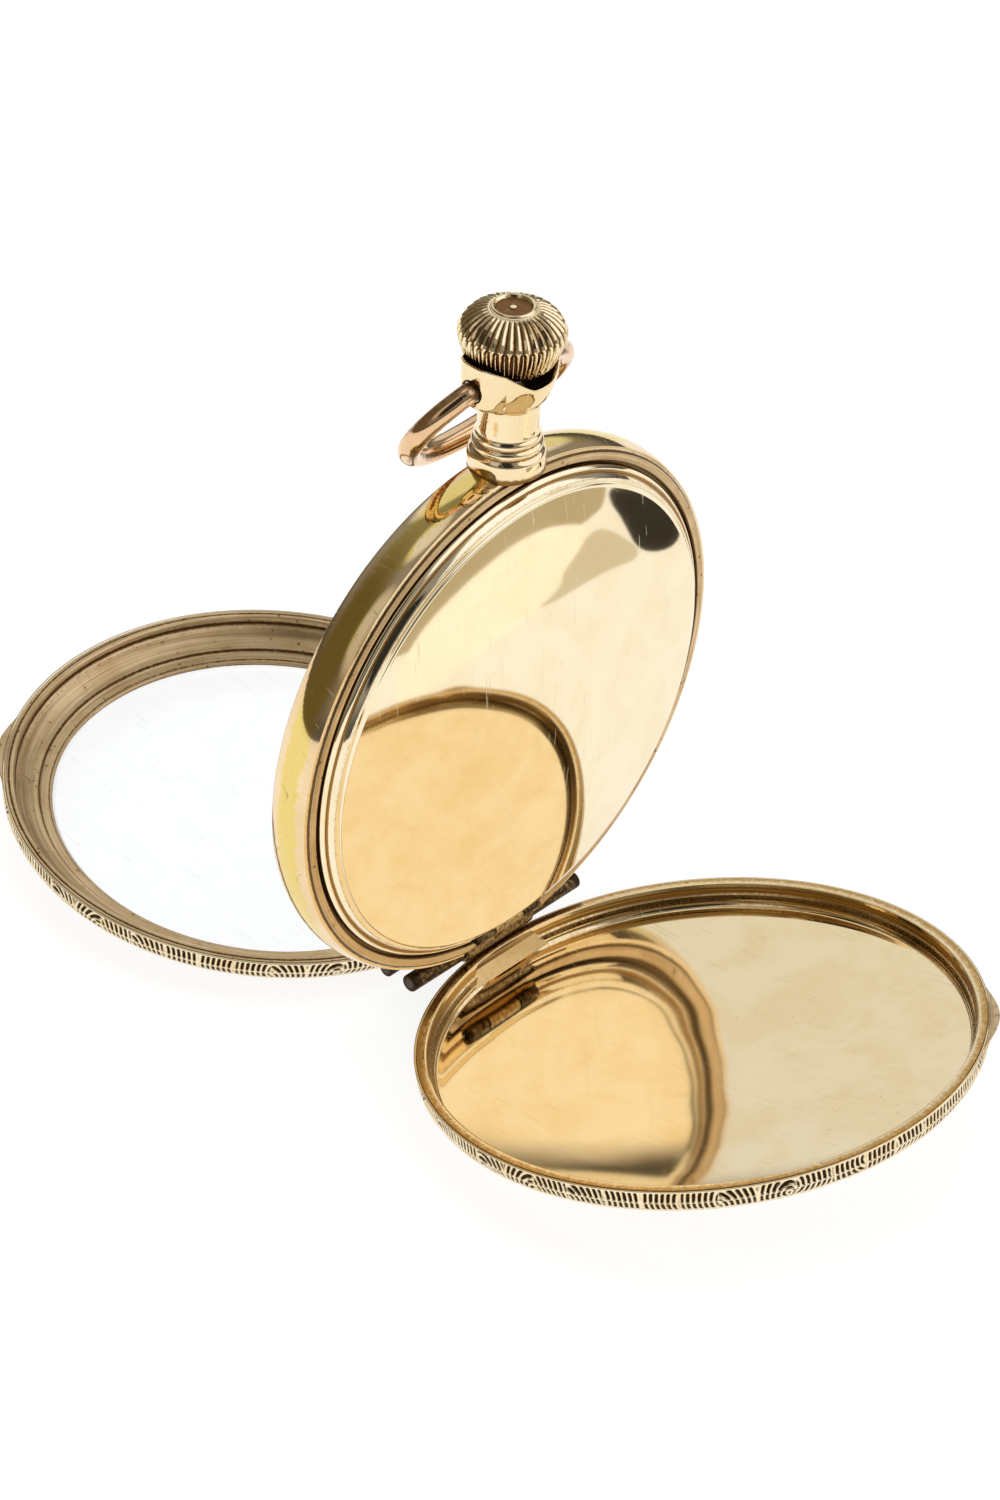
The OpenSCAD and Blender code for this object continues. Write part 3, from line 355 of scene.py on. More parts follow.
def striped_nickel():
    """Nickel with the broad wavy stripes that movement plates are finished with."""
    n = Nodes("striped_nickel", True)
    x, y, z = n.split()
    along = n.total(0.0, (x, 0.8), (z, 0.6))
    across = n.total(0.0, (z, 0.8), (x, -0.6))
    wander = n.math("SINE", n.times(along, 1.1))
    stripe = n.math("FRACT", n.times(n.total(across, (wander, 0.35)), 0.42))
    grain = n.noise(1.0, 3.0, n.joined(n.times(along, 9.0), n.times(across, 1.2), y))
    tone = n.times(n.total(stripe, (grain, 0.5)), 0.7)
    n.set(Base_Color=n.colours(tone, (0.80, 0.79, 0.76), (0.62, 0.60, 0.57)), Metallic=1.0,
          Roughness=n.total(0.16, (grain, 0.16)), Normal=n.bump(n.total(stripe, (grain, 0.2)), 0.02))


def brushed(name, light, dark, roughness, seed):
    """Steel or brass with a fine straight grain."""
    n = Nodes(name, True)
    grain = n.noise(1.0, 3.0, n.turned((0, 25, 40), (14.0, 0.7, 0.7)))
    cloud = n.noise(0.7, 3.0, n.shifted(seed, seed, seed))
    tone = n.total(0.0, (grain, 0.6), (cloud, 0.4))
    n.set(Base_Color=n.colours(n.steps(tone, 0.3, 0.7), light, dark), Metallic=1.0,
          Roughness=n.total(roughness, (grain, 0.18)), Normal=n.bump(grain, 0.003))


def movement_materials():
    striped_nickel()
    brushed("polished_steel", (0.74, 0.75, 0.77), (0.55, 0.56, 0.58), 0.12, 5.0)
    brushed("blued_steel", (0.05, 0.10, 0.42), (0.02, 0.04, 0.20), 0.12, 9.0)
    brushed("gilt_brass", (0.90, 0.70, 0.34), (0.78, 0.56, 0.24), 0.18, 13.0)
    brushed("winding_wheel_steel", (0.82, 0.82, 0.80), (0.66, 0.66, 0.65), 0.14, 15.0)
    n = Nodes("ruby", True)
    n.set(Base_Color=n.colours(n.noise(1.4, 2.0), (0.80, 0.05, 0.16), (0.45, 0.01, 0.06)),
          Roughness=0.04, Specular_IOR_Level=0.9)


def dial_materials():
    n = Nodes("white_enamel")
    white = n.colours(n.steps(n.noise(0.4, 4.0), 0.3, 0.7), (0.90, 0.89, 0.85), (0.84, 0.82, 0.77))
    n.set(Base_Color=n.colours(n.times(n.spots(1.3, 0.03), 0.4), white, (0.35, 0.31, 0.26)), Roughness=0.08,
          Normal=n.bump(n.noise(0.9, 2.0), 0.02), Coat_Weight=0.6, Coat_Roughness=0.03)
    n = Nodes("dial_ink")
    n.set(Base_Color=n.colours(n.noise(3.0), (0.012, 0.012, 0.014), (0.03, 0.028, 0.03)), Roughness=0.2)


def crystal_glass():
    """Thin clear glass: it lets the white ground through with a faint grey, and keeps hairline scratches."""
    n = Nodes("crystal_glass")
    scratch = scratches(n, 97.0, 0.77)
    smear = n.noise(0.22, 4.0, None, 1.2)
    flaw = n.math("MAXIMUM", scratch, n.times(n.spots(0.35, 0.05), n.steps(smear, 0.45, 0.6)))
    tint = n.colours(n.steps(smear, 0.35, 0.7), (0.975, 0.985, 0.99), (0.955, 0.97, 0.98))
    n.set(Base_Color=n.colours(n.times(flaw, 0.5), tint, (0.80, 0.82, 0.84)), Roughness=n.times(flaw, 0.12),
          Normal=n.bump(n.total(0.0, (smear, 0.25), (scratch, -1.0)), 0.004),
          Transmission_Weight=1.0, IOR=1.5)


metals()
movement_materials()
dial_materials()
crystal_glass()

# ---------- sections and meshes ----------


def arc(centre, radius, start, end, count):
    """Points on an arc, angles in degrees."""
    angles = np.radians(np.linspace(start, end, count))
    return [(centre[0] + radius * math.cos(a), centre[1] + radius * math.sin(a)) for a in angles]


def rounded(corners, bend=4):
    """A closed outline whose corners (x, y, radius) are rounded; corners without a radius stay."""
    out = []
    for i, corner in enumerate(corners):
        p = np.array(corner[:2], float)
        radius = corner[2] if len(corner) > 2 else 0.0
        if radius == 0:
            out.append(tuple(p))
            continue
        before = np.array(corners[i - 1][:2], float) - p
        after = np.array(corners[(i + 1) % len(corners)][:2], float) - p
        reach = min(radius, 0.45 * np.linalg.norm(before), 0.45 * np.linalg.norm(after))
        a = p + before / np.linalg.norm(before) * reach
        b = p + after / np.linalg.norm(after) * reach
        for t in np.linspace(0, 1, bend + 1):
            q = (1 - t) ** 2 * a + 2 * t * (1 - t) * p + t ** 2 * b
            out.append(tuple(q))
    return out


def refined(outline, step, closed=True):
    """The outline with its long edges divided, and short supports beside each corner."""
    points = [np.array(p, float) for p in outline]
    ends = points[1:] + ([points[0]] if closed else [])
    out = []
    for a, b in zip(points, ends):
        length = np.linalg.norm(b - a)
        if length < 1e-6:
            continue
        support = min(0.04, length / 4)
        count = max(1, math.ceil(length / step))
        stops = {0.0}
        if length > 0.15:
            stops |= {support / length, 1 - support / length}
        stops |= {k / count for k in range(1, count)}
        out += [a + (b - a) * t for t in sorted(stops)]
    if not closed:
        out.append(points[-1])
    return np.array(out)


def smooth_random(x, y, seed, size, count=14):
    """A smooth random field over the plane, about -1..1, with features of the given size."""
    random = np.random.default_rng(seed)
    total = np.zeros_like(x)
    for _ in range(count):
        angle, phase = random.uniform(0, TAU, 2)
        wave = TAU / (size * random.uniform(0.7, 1.8))
        total += np.cos(wave * (x * math.cos(angle) + y * math.sin(angle)) + phase)
    return total / math.sqrt(count)


def grid_faces(rows, columns, wrap_rows, wrap_columns):
    i = np.arange(rows if wrap_rows else rows - 1)
    j = np.arange(columns if wrap_columns else columns - 1)
    i, j = np.meshgrid(i, j, indexing="ij")
    i2, j2 = (i + 1) % rows, (j + 1) % columns
    corners = [i * columns + j, i2 * columns + j, i2 * columns + j2, i * columns + j2]
    return np.stack(corners, -1).reshape(-1, 4)


def capped_faces(stations, sides):
    """Faces of a bar with closed ends."""
    last = (stations - 1) * sides
    faces = grid_faces(stations, sides, False, True).tolist()
    return faces + [list(range(sides)), list(range(last, last + sides))]


def ring_row(r, angle, z):
    """Points round the z axis; r and z are one number each, or one for each angle."""
    return np.stack([r * np.cos(angle), r * np.sin(angle), z + 0 * angle], 1)


def piece(name, points, faces, body, material, matrix, grime_and_shade=None, slot="case_gold", stands_for=None,
          weld=True):
    """Makes a mesh from points in millimetres, welds it, and lets it ride on its body."""
    mesh = bpy.data.meshes.new(name)
    points = np.asarray(points, float)
    placed = np.array(matrix)
    mesh.from_pydata((points * MM @ placed[:3, :3].T + placed[:3, 3]).tolist(), [],
                     faces.tolist() if isinstance(faces, np.ndarray) else faces)
    local = mesh.attributes.new("local", "FLOAT_VECTOR", "POINT")
    local.data.foreach_set("vector", points.astype(np.float32).ravel())
    if grime_and_shade is not None:
        layer = mesh.attributes.new("grime_and_shade", "FLOAT", "POINT")
        grime_and_shade = np.broadcast_to(np.ravel(grime_and_shade), len(points))
        layer.data.foreach_set("value", np.clip(grime_and_shade, 0, 1).astype(np.float32))
    made = bmesh.new()
    made.from_mesh(mesh)
    if weld:
        bmesh.ops.remove_doubles(made, verts=made.verts, dist=1e-7)
        bmesh.ops.dissolve_degenerate(made, dist=1e-8, edges=made.edges)
    bmesh.ops.recalc_face_normals(made, faces=made.faces)
    for face in made.faces:
        face.smooth = True
    made.to_mesh(mesh)
    made.free()
    mesh.materials.append(MATERIALS[material])
    made_object = bpy.data.objects.new(name, mesh)
    bpy.context.scene.collection.objects.link(made_object)
    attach(made_object, body)
    if stands_for:
        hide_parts(stands_for)


def lathe(section, columns, closed=True, shape=None):
    """Turns a section (radius, height) round z. shape(points, outward, angle) may move the points."""
    section = np.asarray(section)
    angle = np.arange(columns) * TAU / columns
    after, before = np.roll(section, -1, 0), np.roll(section, 1, 0)
    if not closed:
        after[-1], before[0] = section[-1], section[0]
    along = after - before
    along /= np.maximum(np.linalg.norm(along, axis=1, keepdims=True), 1e-9)
    x, y = section[:, 0], section[:, 1]
    area = np.sum(x * np.roll(y, -1) - np.roll(x, -1) * y)
    out = np.stack([along[:, 1], -along[:, 0]], 1) * (1 if area > 0 else -1)
    c, s = np.cos(angle)[None, :], np.sin(angle)[None, :]
    points = np.stack([x[:, None] * c, x[:, None] * s, y[:, None] + 0 * c], -1)
    outward = np.stack([out[:, :1] * c, out[:, :1] * s, out[:, 1:] + 0 * c], -1)
    if shape is not None:
        points = shape(points, outward, angle)
    return points.reshape(-1, 3), grid_faces(len(section), columns, closed, True)


def grime_and_shade_near(section, spots, columns):
    """Grime and painted shade for every point of a lathe, darkest near the given spots in grooves and gaps:
    each spot is (radius, height, width, amount).
    """
    section = np.asarray(section)
    total = np.zeros(len(section))
    for r, z, width, amount in spots:
        total += amount * np.exp(-((section[:, 0] - r) ** 2 + (section[:, 1] - z) ** 2) / width ** 2)
    return np.repeat(total[:, None], columns, 1)


def carved(points, place, towards, radius, half_x):
    """Moves points out of an open groove along x: place and towards are (y, z) of its axis and mouth."""
    towards = np.array(towards, float) / np.linalg.norm(towards)
    side = np.array([-towards[1], towards[0]])
    offset = points[..., 1:] - np.array(place)
    a, b = offset @ towards, offset @ side
    floor = -np.sqrt(np.maximum(radius ** 2 - b ** 2, 0))
    inside = (np.abs(points[..., 0]) < half_x) & (np.abs(b) < radius) & (a > floor)
    moved = np.where(inside, floor, a)
    points = points.copy()
    points[..., 1:] += (moved - a)[..., None] * towards
    return points


def tube(radius, from_x, to_x, place, sides=40, bore=PIN_BORE):
    """A hinge knuckle along x with rounded ends; place is (y, z)."""
    soft = min(0.18, radius / 3)
    outline = rounded([(bore, from_x), (radius, from_x, soft), (radius, to_x, soft), (bore, to_x)])
    points, faces = lathe(refined(outline, 0.5), sides)
    return np.stack([points[:, 2], points[:, 0] + place[0], points[:, 1] + place[1]], -1), faces


def merged(parts):
    """Several (points, faces) joined into one."""
    all_points, all_faces, start = [], [], 0
    for points, faces in parts:
        all_points.append(points)
        all_faces += [[int(i) + start for i in face] for face in faces]
        start += len(points)
    return np.concatenate(all_points), all_faces


# ---------- chased edges of the covers ----------

STROKE_PITCH = 0.54
STROKE_DEPTH = 0.2
RING_TOP = 0.012
RING_THICK = 0.26
UNDER_RING = 0.29
RING_START = 0.06
BACK_RING_END = 74
BEZEL_RING_END = 58
CLUSTER = 3.7


def strokes(u, v):
    """Height of the chased strokes, -1 in a cut and 0 between, at u round the edge and v across it."""
    count = round(TAU * CASE_R / CLUSTER)
    pitch = TAU * CASE_R / count
    cell = np.floor(u / pitch)
    random = np.random.default_rng(5)
    index = cell.astype(int) % count
    side = np.where(random.uniform(0, 1, count) < 0.5, -1, 1)[index]
    reach = random.uniform(1.2, 3.6, count)[index]
    level = random.uniform(0.6, 2.6, count)[index]
    # each cluster is a nest of arcs round a point beside it, so its strokes run across the edge
    distance = np.hypot(u - (cell + 0.5) * pitch - side * reach, 0.8 * (v - level))
    cut = 0.5 + 0.5 * np.cos(TAU * distance / STROKE_PITCH)
    bands = np.clip(2.0 * np.abs(np.sin(math.pi * (v - 0.08) / 1.22)), 0, 1)
    near = np.clip(5 * (0.5 - np.abs(u / pitch - cell - 0.5)) + 0.45, 0, 1)
    return -(cut ** 0.7) * bands * near


def chased_ring(name, body, matrix, end_angle, columns=2940):
    """The engraved outside of a cover's edge, with its own back; the cover's sheet lies under it."""
    rim = CASE_R - SHOULDER_R
    outer, inner = ([(CASE_R - depth, RING_START), (CASE_R - depth, WALL)] +
                    arc((rim, WALL), SHOULDER_R - depth, 4, end_angle, 12)
                    for depth in (RING_TOP, RING_THICK))
    face = refined(outer, 0.125, False)
    section = np.concatenate([face, inner[::-1]])
    rows = len(face)
    across = np.concatenate([[0], np.cumsum(np.linalg.norm(np.diff(face, axis=0), axis=1))])
    fade = np.clip(across / 0.25, 0, 1) * np.clip((across[-1] - across) / 0.3, 0, 1)
    angle = np.arange(columns) * TAU / columns
    height = strokes(*np.meshgrid(angle * CASE_R, across)) * fade[:, None]

    def engrave(points, outward, _):
        points[:rows] += outward[:rows] * (height * STROKE_DEPTH)[..., None]
        return points

    points, faces = lathe(section, columns, True, engrave)
    # the engraved cuts get grime and painted shade, and the ring's back a little of both
    grime_and_shade = np.full((len(section), columns), 0.3)
    grime_and_shade[:rows] = -height
    piece(name, points, faces, body, "chased_gold", matrix, grime_and_shade)


def under_ring(outline, end_angle):
    """The outline drawn in where a chased ring lies over it, so that the ring's cuts stay open."""
    rim = CASE_R - SHOULDER_R
    moved = []
    for r, z in outline:
        length = math.hypot(r - rim, z - WALL)
        from_end = end_angle - math.degrees(math.atan2(z - WALL, r - rim))
        scale = 1 - (UNDER_RING - SUNK) * min(1, max(0, from_end / 8)) / length
        moved.append((rim + (r - rim) * scale, WALL + (z - WALL) * scale))
    return moved


# ---------- case band ----------


def band_section():
    bulge_r = (BAND_HALF ** 2 + BAND_BULGE ** 2) / (2 * BAND_BULGE)
    half = math.degrees(math.asin(BAND_HALF / bulge_r))
    # heights run along the case's +Y
    outside = arc((CASE_R + BAND_BULGE - ROOM_IN_BOX - bulge_r, 0), bulge_r, -half * 0.93, half * 0.86, 22)
    front = [(26.3, -BAND_HALF, 0.06), (CASE_R - 0.75, -BAND_HALF, 0.05), (CASE_R - 0.6, -2.25, 0.05),
             (CASE_R - 0.05, -2.25, 0.08)]
    back = [(CASE_R - 0.10, 2.10, 0.06), (CASE_R - 0.30, 2.16, 0.05), (CASE_R - 0.42, 2.32, 0.05),
            (CASE_R - 1.15, 2.32, 0.05), (CASE_R - RIM_W, 2.22, 0.04), (CASE_R - RIM_W, 1.9, 0.04),
            (24.9, 1.9, 0.05), (24.9, -1.4, 0.05), (22.5, -1.4, 0.05), (22.5, DIAL_FRONT, 0.05),
            (25.9, DIAL_FRONT, 0.06), (26.3, -2.9, 0.06)]
    return refined(rounded(front + [(p[0], p[1]) for p in outside] + back), 0.5)


def case_band():
    columns = 540
    section = band_section()

    def dented(points, outward, angle):
        dents = smooth_random(angle * CASE_R, 0 * angle, 3, 9.0)
        outer = (section[:, 0] > CASE_R - 0.1)[:, None]
        points = back_seat(points - outward * (WEAR * np.abs(dents)[None, :] * outer)[..., None])
        return carved(points, (-FRONT_AXIS.z, FRONT_AXIS.y), (1, -0.75), FRONT_KNUCKLE_R + NOTCH_GAP,
                      KNUCKLE_ROOM)

    # darker at the steps and gaps where the covers meet the band: grime and painted shade
    spots = [(CASE_R - 0.35, 2.2, 0.2, 1.0), (CASE_R - 0.85, 2.4, 0.3, 0.62), (CASE_R - 1.3, 2.1, 0.4, 1.8),
             (25.8, 1.9, 0.9, 1.3), (CASE_R - 0.1, -2.3, 0.2, 1.2), (26.2, -2.7, 0.8, 1.0)]
    piece("band", *lathe(section, columns, True, dented), "case", "band_gold", FACING_BACK,
          grime_and_shade_near(section, spots, columns), stands_for="case_band")
    strip = refined(rounded([(CASE_R - 0.36, 2.2), (CASE_R - 0.42, BAND_HALF, 0.08),
                             (CASE_R - 0.8, BAND_HALF - 0.04, 0.3), (CASE_R - 1.16, BAND_HALF, 0.08),
                             (CASE_R - 1.22, 2.2)]), 0.12)

    def uneven(points, outward, _):
        wobble = smooth_random(points[..., 0], points[..., 1], 14, 5.0)
        return back_seat(points - np.abs(outward * (WEAR * wobble)[..., None]) * (0, 0, 1))

    # darker along both edges of the rim strip: grime and painted shade
    edges = [(CASE_R - 0.36, 2.2, 0.12, 0.9), (CASE_R - 1.22, 2.2, 0.14, 1.0)]
    piece("case_rim", *lathe(strip, columns, True, uneven), "case", "bezel_gold", FACING_BACK,
          grime_and_shade_near(strip, edges, columns))


def back_seat(points):
    """Cuts the case's groove for the back cover's knuckle; lathe z is the case's +Y, lathe y its -Z."""
    return carved(points, (-BACK_AXIS.z, BACK_AXIS.y), (0.75, 1), KNUCKLE_R + NOTCH_GAP, KNUCKLE_ROOM)


def case_knuckles():
    ends = []
    for side in (-1, 1):
        for axis, radius, near, far, bore in (
                (BACK_AXIS, KNUCKLE_R - SLIM, KNUCKLE_ROOM, HINGE_HALF, PIN_BORE),
                (FRONT_AXIS, FRONT_KNUCKLE_R - SLIM, KNUCKLE_ROOM, HINGE_HALF, PIN_BORE),
                (INNER_AXIS, INNER_KNUCKLE_R, INNER_MIDDLE_HALF + HINGE_GAP, INNER_HINGE_HALF, INNER_BORE)):
            low, high = sorted((side * near, side * far))
            ends.append(tube(radius, low, high, (axis.y, axis.z), bore=bore))
    points, faces = merged(ends)
    grime_and_shade = 0.6 + 0.4 * np.exp(-((np.abs(points[:, 0]) - HINGE_HALF) / 0.6) ** 2)
    piece("band_knuckles", points, faces, "case", "hinge_gold", CASE, grime_and_shade)


# ---------- back cover ----------


def cover_dome(rim, wall, round_r, sphere_r, bend, dome):
    """Outline of a cover's face from its wall to the axis: rounded shoulder, then a shallow sphere."""
    edge = math.degrees(math.asin((rim - round_r) / (sphere_r - round_r)))
    top = wall + math.sqrt((sphere_r - round_r) ** 2 - (rim - round_r) ** 2)
    return (arc((rim - round_r, wall), round_r, 0, 90 - edge, bend) +
            arc((0, 2 * wall - top), sphere_r, 90 - edge, 90, dome)[1:])


def back_cover():
    columns = 480
    outer = under_ring(cover_dome(CASE_R - SUNK, WALL - SUNK, SHOULDER_R, DOME_R, 24, 60), BACK_RING_END)
    inner = cover_dome(CASE_R - SHEET - 0.1, WALL, SHOULDER_R - SHEET, DOME_R - SHEET, 10, 60)[::-1]
    # stepped seat inside the rim
    rim = rounded([(CASE_R - 1.62, 1.25, 0.08), (CASE_R - 1.42, 1.05, 0.06), (CASE_R - 1.38, 0.72, 0.06),
                   (CASE_R - 1.30, 0.66, 0.04), (CASE_R - 1.28, 0.08, 0.06), (CASE_R - 1.1, 0.0, 0.05),
                   (CASE_R - UNDER_RING, 0.0, 0.05), (CASE_R - UNDER_RING, 0.1)])
    inner = [p for p in inner if p[0] < CASE_R - 1.7]
    section = np.array(inner + refined(rim, 0.35, False).tolist() + outer)

    def shape(points, outward, _):
        x, y = points[..., 0], points[..., 1]
        waves = 0.009 * smooth_random(x, y, 8, 26.0) + 0.0032 * smooth_random(x, y, 9, 9.0)
        flat = np.clip((CASE_R - 3 - np.hypot(x, y)) / 5, 0, 1)
        return points + outward * (waves * flat)[..., None]

    # darker in the seat's step, on the rim and at its edge: grime and painted shade
    spots = [(CASE_R - 1.3, 0.7, 0.25, 1.1), (CASE_R - 0.6, 0.0, 0.5, 0.55), (CASE_R - 1.5, 1.7, 1.0, 0.6),
             (CASE_R, 0.1, 0.3, 0.8)]
    piece("back_cover_shell", *lathe(section, columns, False, shape), "back_cover", "back_cover_gold", BACK,
          grime_and_shade_near(section, spots, columns), stands_for="back_cover")
    chased_ring("back_cover_chasing", "back_cover", BACK, BACK_RING_END)
    lift_lip("back_cover_lip", "back_cover", BACK, -90 - LIP_FROM_PENDANT)
    knuckle = tube(KNUCKLE_R, -MIDDLE_HALF, MIDDLE_HALF, (-BACK_AXIS.z, BACK_AXIS.y - BAND_HALF))
    piece("back_cover_knuckle", *knuckle, "back_cover", "hinge_gold", BACK, 0.5)
    leaf = bent_plate(LEAF_HALF, LEAF_THICK, [(26.6, 0.25), (26.5, 0.7), (26.25, 1.25), (25.8, 2.25)])
    piece("back_cover_leaf", *leaf, "back_cover", "hinge_gold", BACK, 0.05)


def bent_plate(half_x, thick, path):
    """A strip along x that follows a path (y, z), a little smaller at its ends."""
    path = refined(path, 0.25, False)
    along = np.gradient(path, axis=0)
    along /= np.linalg.norm(along, axis=1, keepdims=True)
    normal = np.stack([-along[:, 1], along[:, 0]], 1)
    loop = np.concatenate([path + normal * thick / 2, (path - normal * thick / 2)[::-1]])
    middle = path.mean(0)
    stations = [(-half_x, 0.97), (-half_x + 0.04, 0.995), (-half_x + 0.12, 1.0),
                (half_x - 0.12, 1.0), (half_x - 0.04, 0.995), (half_x, 0.97)]
    rows = [np.insert(middle + (loop - middle) * size, 0, x, axis=1) for x, size in stations]
    return np.concatenate(rows), capped_faces(len(stations), len(loop))


def lift_lip(name, body, matrix, direction):
    """The lip a thumbnail lifts: a shallow crescent that grows out of the rim."""
    sweep = 81
    angles = np.radians(np.linspace(direction - LIP_SPAN, direction + LIP_SPAN, sweep))
    reach = LIP_REACH * np.cos(np.linspace(-math.pi / 2, math.pi / 2, sweep)) ** 1.5
    rows = []
    for angle, out in zip(angles, reach):
        far = CASE_R - 0.02 + out
        loop = rounded([(CASE_R - 0.5, 0.03), (far, 0.12, 0.12), (far, 0.40, 0.16),
                        (CASE_R + 0.45 * out, 0.68, 0.5), (CASE_R - 0.5, 1.25)], 4)
        rows.append([(r * math.cos(angle), r * math.sin(angle), z) for r, z in loop])
    points = np.array(rows).reshape(-1, 3)
    nick = smooth_random(points[:, 0], points[:, 1], 17, 1.2)
    piece(name, points, capped_faces(sweep, len(rows[0])), body, "bezel_gold", matrix,
          0.1 + 0.25 * np.clip(nick, 0, 1))


# ---------- bezel and crystal ----------


def front_bezel():
    columns = 480
    shoulder = under_ring(arc((CASE_R - SHOULDER_R, WALL), SHOULDER_R - SUNK, 0, 60, 20), BEZEL_RING_END)
    corners = [(CASE_R - UNDER_RING, 0.04, 0.05)] + shoulder + [
        (25.9, 3.2, 0.1), (25.2, 3.35, 0.1), (24.2, 3.6, 0.2), (23.65, 3.9, 0.12), (23.05, 3.9, 0.06),
        (23.05, 3.72, 0.05), (23.4, 3.7, 0.03), (23.4, 3.3, 0.03), (22.75, 3.3, 0.05), (22.75, 3.08, 0.1),
        (23.05, 3.0, 0.05), (23.12, 2.86, 0.05), (24.0, 2.7, 0.12), (24.22, 2.32, 0.08), (24.6, 2.3, 0.2),
        (25.75, 1.85, 0.5), (26.2, 1.25, 0.1), (26.45, 1.1, 0.05), (26.7, 0.86, 0.08),
        (26.74, 0.14, 0.08), (26.9, 0.04, 0.05), (27.25, 0.04, 0.04), (27.33, 0.1, 0.04), (27.45, 0.04, 0.04)]
    section = refined(rounded(corners), 0.3)
    hinge = (FRONT_AXIS.z, -(FRONT_AXIS.y + BAND_HALF))

    def shape(points, outward, _):
        wobble = smooth_random(points[..., 0], points[..., 1], 12, 8.0)
        inner = (section[:, 1] < 3.2) & (section[:, 1] > 0.3) & (section[:, 0] < CASE_R - 0.5)
        points = points + outward * (0.01 * wobble * inner[:, None])[..., None]
        return carved(points, hinge, (-1, -0.6), FRONT_KNUCKLE_R + HINGE_GAP, HINGE_HALF + 0.15)

    # darker in the bezel's steps and corners: grime and painted shade
    spots = [(23.08, 2.92, 0.14, 0.5), (24.12, 2.45, 0.2, 0.8), (26.3, 1.15, 0.16, 0.4),
             (26.68, 0.8, 0.2, 1.0), (27.33, 0.05, 0.15, 0.7), (23.4, 3.5, 0.4, 0.8)]
    piece("bezel_ring", *lathe(section, columns, True, shape), "front_bezel", "bezel_gold", BEZEL,
          grime_and_shade_near(section, spots, columns), stands_for="front_bezel")
    chased_ring("bezel_chasing", "front_bezel", BEZEL, BEZEL_RING_END)
    lift_lip("bezel_lip", "front_bezel", BEZEL, 90 - LIP_FROM_PENDANT)
    piece("bezel_knuckle", *tube(FRONT_KNUCKLE_R, -MIDDLE_HALF, MIDDLE_HALF, hinge), "front_bezel",
          "hinge_gold", BEZEL, 0.5)


def crystal():
    clear_r, sphere, seat, thick = 22.6, 260.0, 3.36, 0.5
    radii = np.linspace(0, clear_r, 30)
    rise = np.sqrt(sphere ** 2 - radii ** 2) - math.sqrt(sphere ** 2 - clear_r ** 2)
    inside = [(r, seat + z) for r, z in zip(radii, rise)]
    edge = rounded([(22.95, 3.34, 0.03), (23.3, 3.34, 0.05), (23.3, 3.64, 0.05), (23.0, 3.72, 0.08)])
    outside = [(r * 22.9 / clear_r, seat + z + thick) for r, z in zip(radii, rise)][::-1]
    piece("crystal_glass", *lathe(inside + edge + outside, 360, False), "front_bezel", "crystal_glass", BEZEL,
          slot="glass", stands_for="crystal")


# ---------- inner cover ----------


def inner_cover():
    columns, sphere, dome_r, thick = 540, 122.0, 24.9, 0.5
    edge = math.degrees(math.asin(dome_r / sphere))
    centre = (0, INNER_TOP - sphere)
    rim = rounded([(dome_r, 1.97, 0.03), (26.34, 1.97, 0.05), (26.4, 2.1, 0.05), (26.36, 2.45, 0.2),
                   (26.05, 2.72, 0.12), (25.85, 2.66, 0.04), (25.74, 2.70, 0.04), (25.62, 2.95, 0.1),
                   (25.40, 3.30, 0.12), (25.12, 3.40, 0.08)])
    section = arc(centre, sphere - thick, 90, 90 - edge, 40) + rim + arc(centre, sphere, 90 - edge, 90, 70)

    def shape(points, outward, _):
        x, y = points[..., 0], points[..., 1]
        waves = 0.010 * smooth_random(x, y, 21, 30.0) + 0.0016 * smooth_random(x, y, 22, 9.0)
        flat = np.clip((25.3 - np.hypot(x, y)) / 3, 0, 1) ** 2
        points = points + outward * (waves * flat)[..., None]
        # notch over the little hinge
        return carved(points, (-INNER_AXIS.z, INNER_AXIS.y), (1, -0.2), INNER_KNUCKLE_R + NOTCH_GAP,
                      INNER_HINGE_HALF + HINGE_GAP)

    # darker in the groove beside the bead and where the rim meets the band: grime and painted shade
    spots = [(25.8, 2.68, 0.16, 1.6), (26.4, 2.0, 0.3, 1.0), (25.35, 3.35, 0.2, 0.35)]
    piece("inner_cover_dome", *lathe(section, columns, False, shape), "inner_cover", "inner_cover_gold",
          FACING_BACK, grime_and_shade_near(section, spots, columns), stands_for="inner_cover")
    knuckle = tube(INNER_KNUCKLE_R, -INNER_MIDDLE_HALF, INNER_MIDDLE_HALF, (INNER_AXIS.y, INNER_AXIS.z), 32,
                   INNER_BORE)
    piece("inner_cover_knuckle", *knuckle, "inner_cover", "hinge_gold", CASE, 0.4)


# ---------- pendant, bow and crown ----------


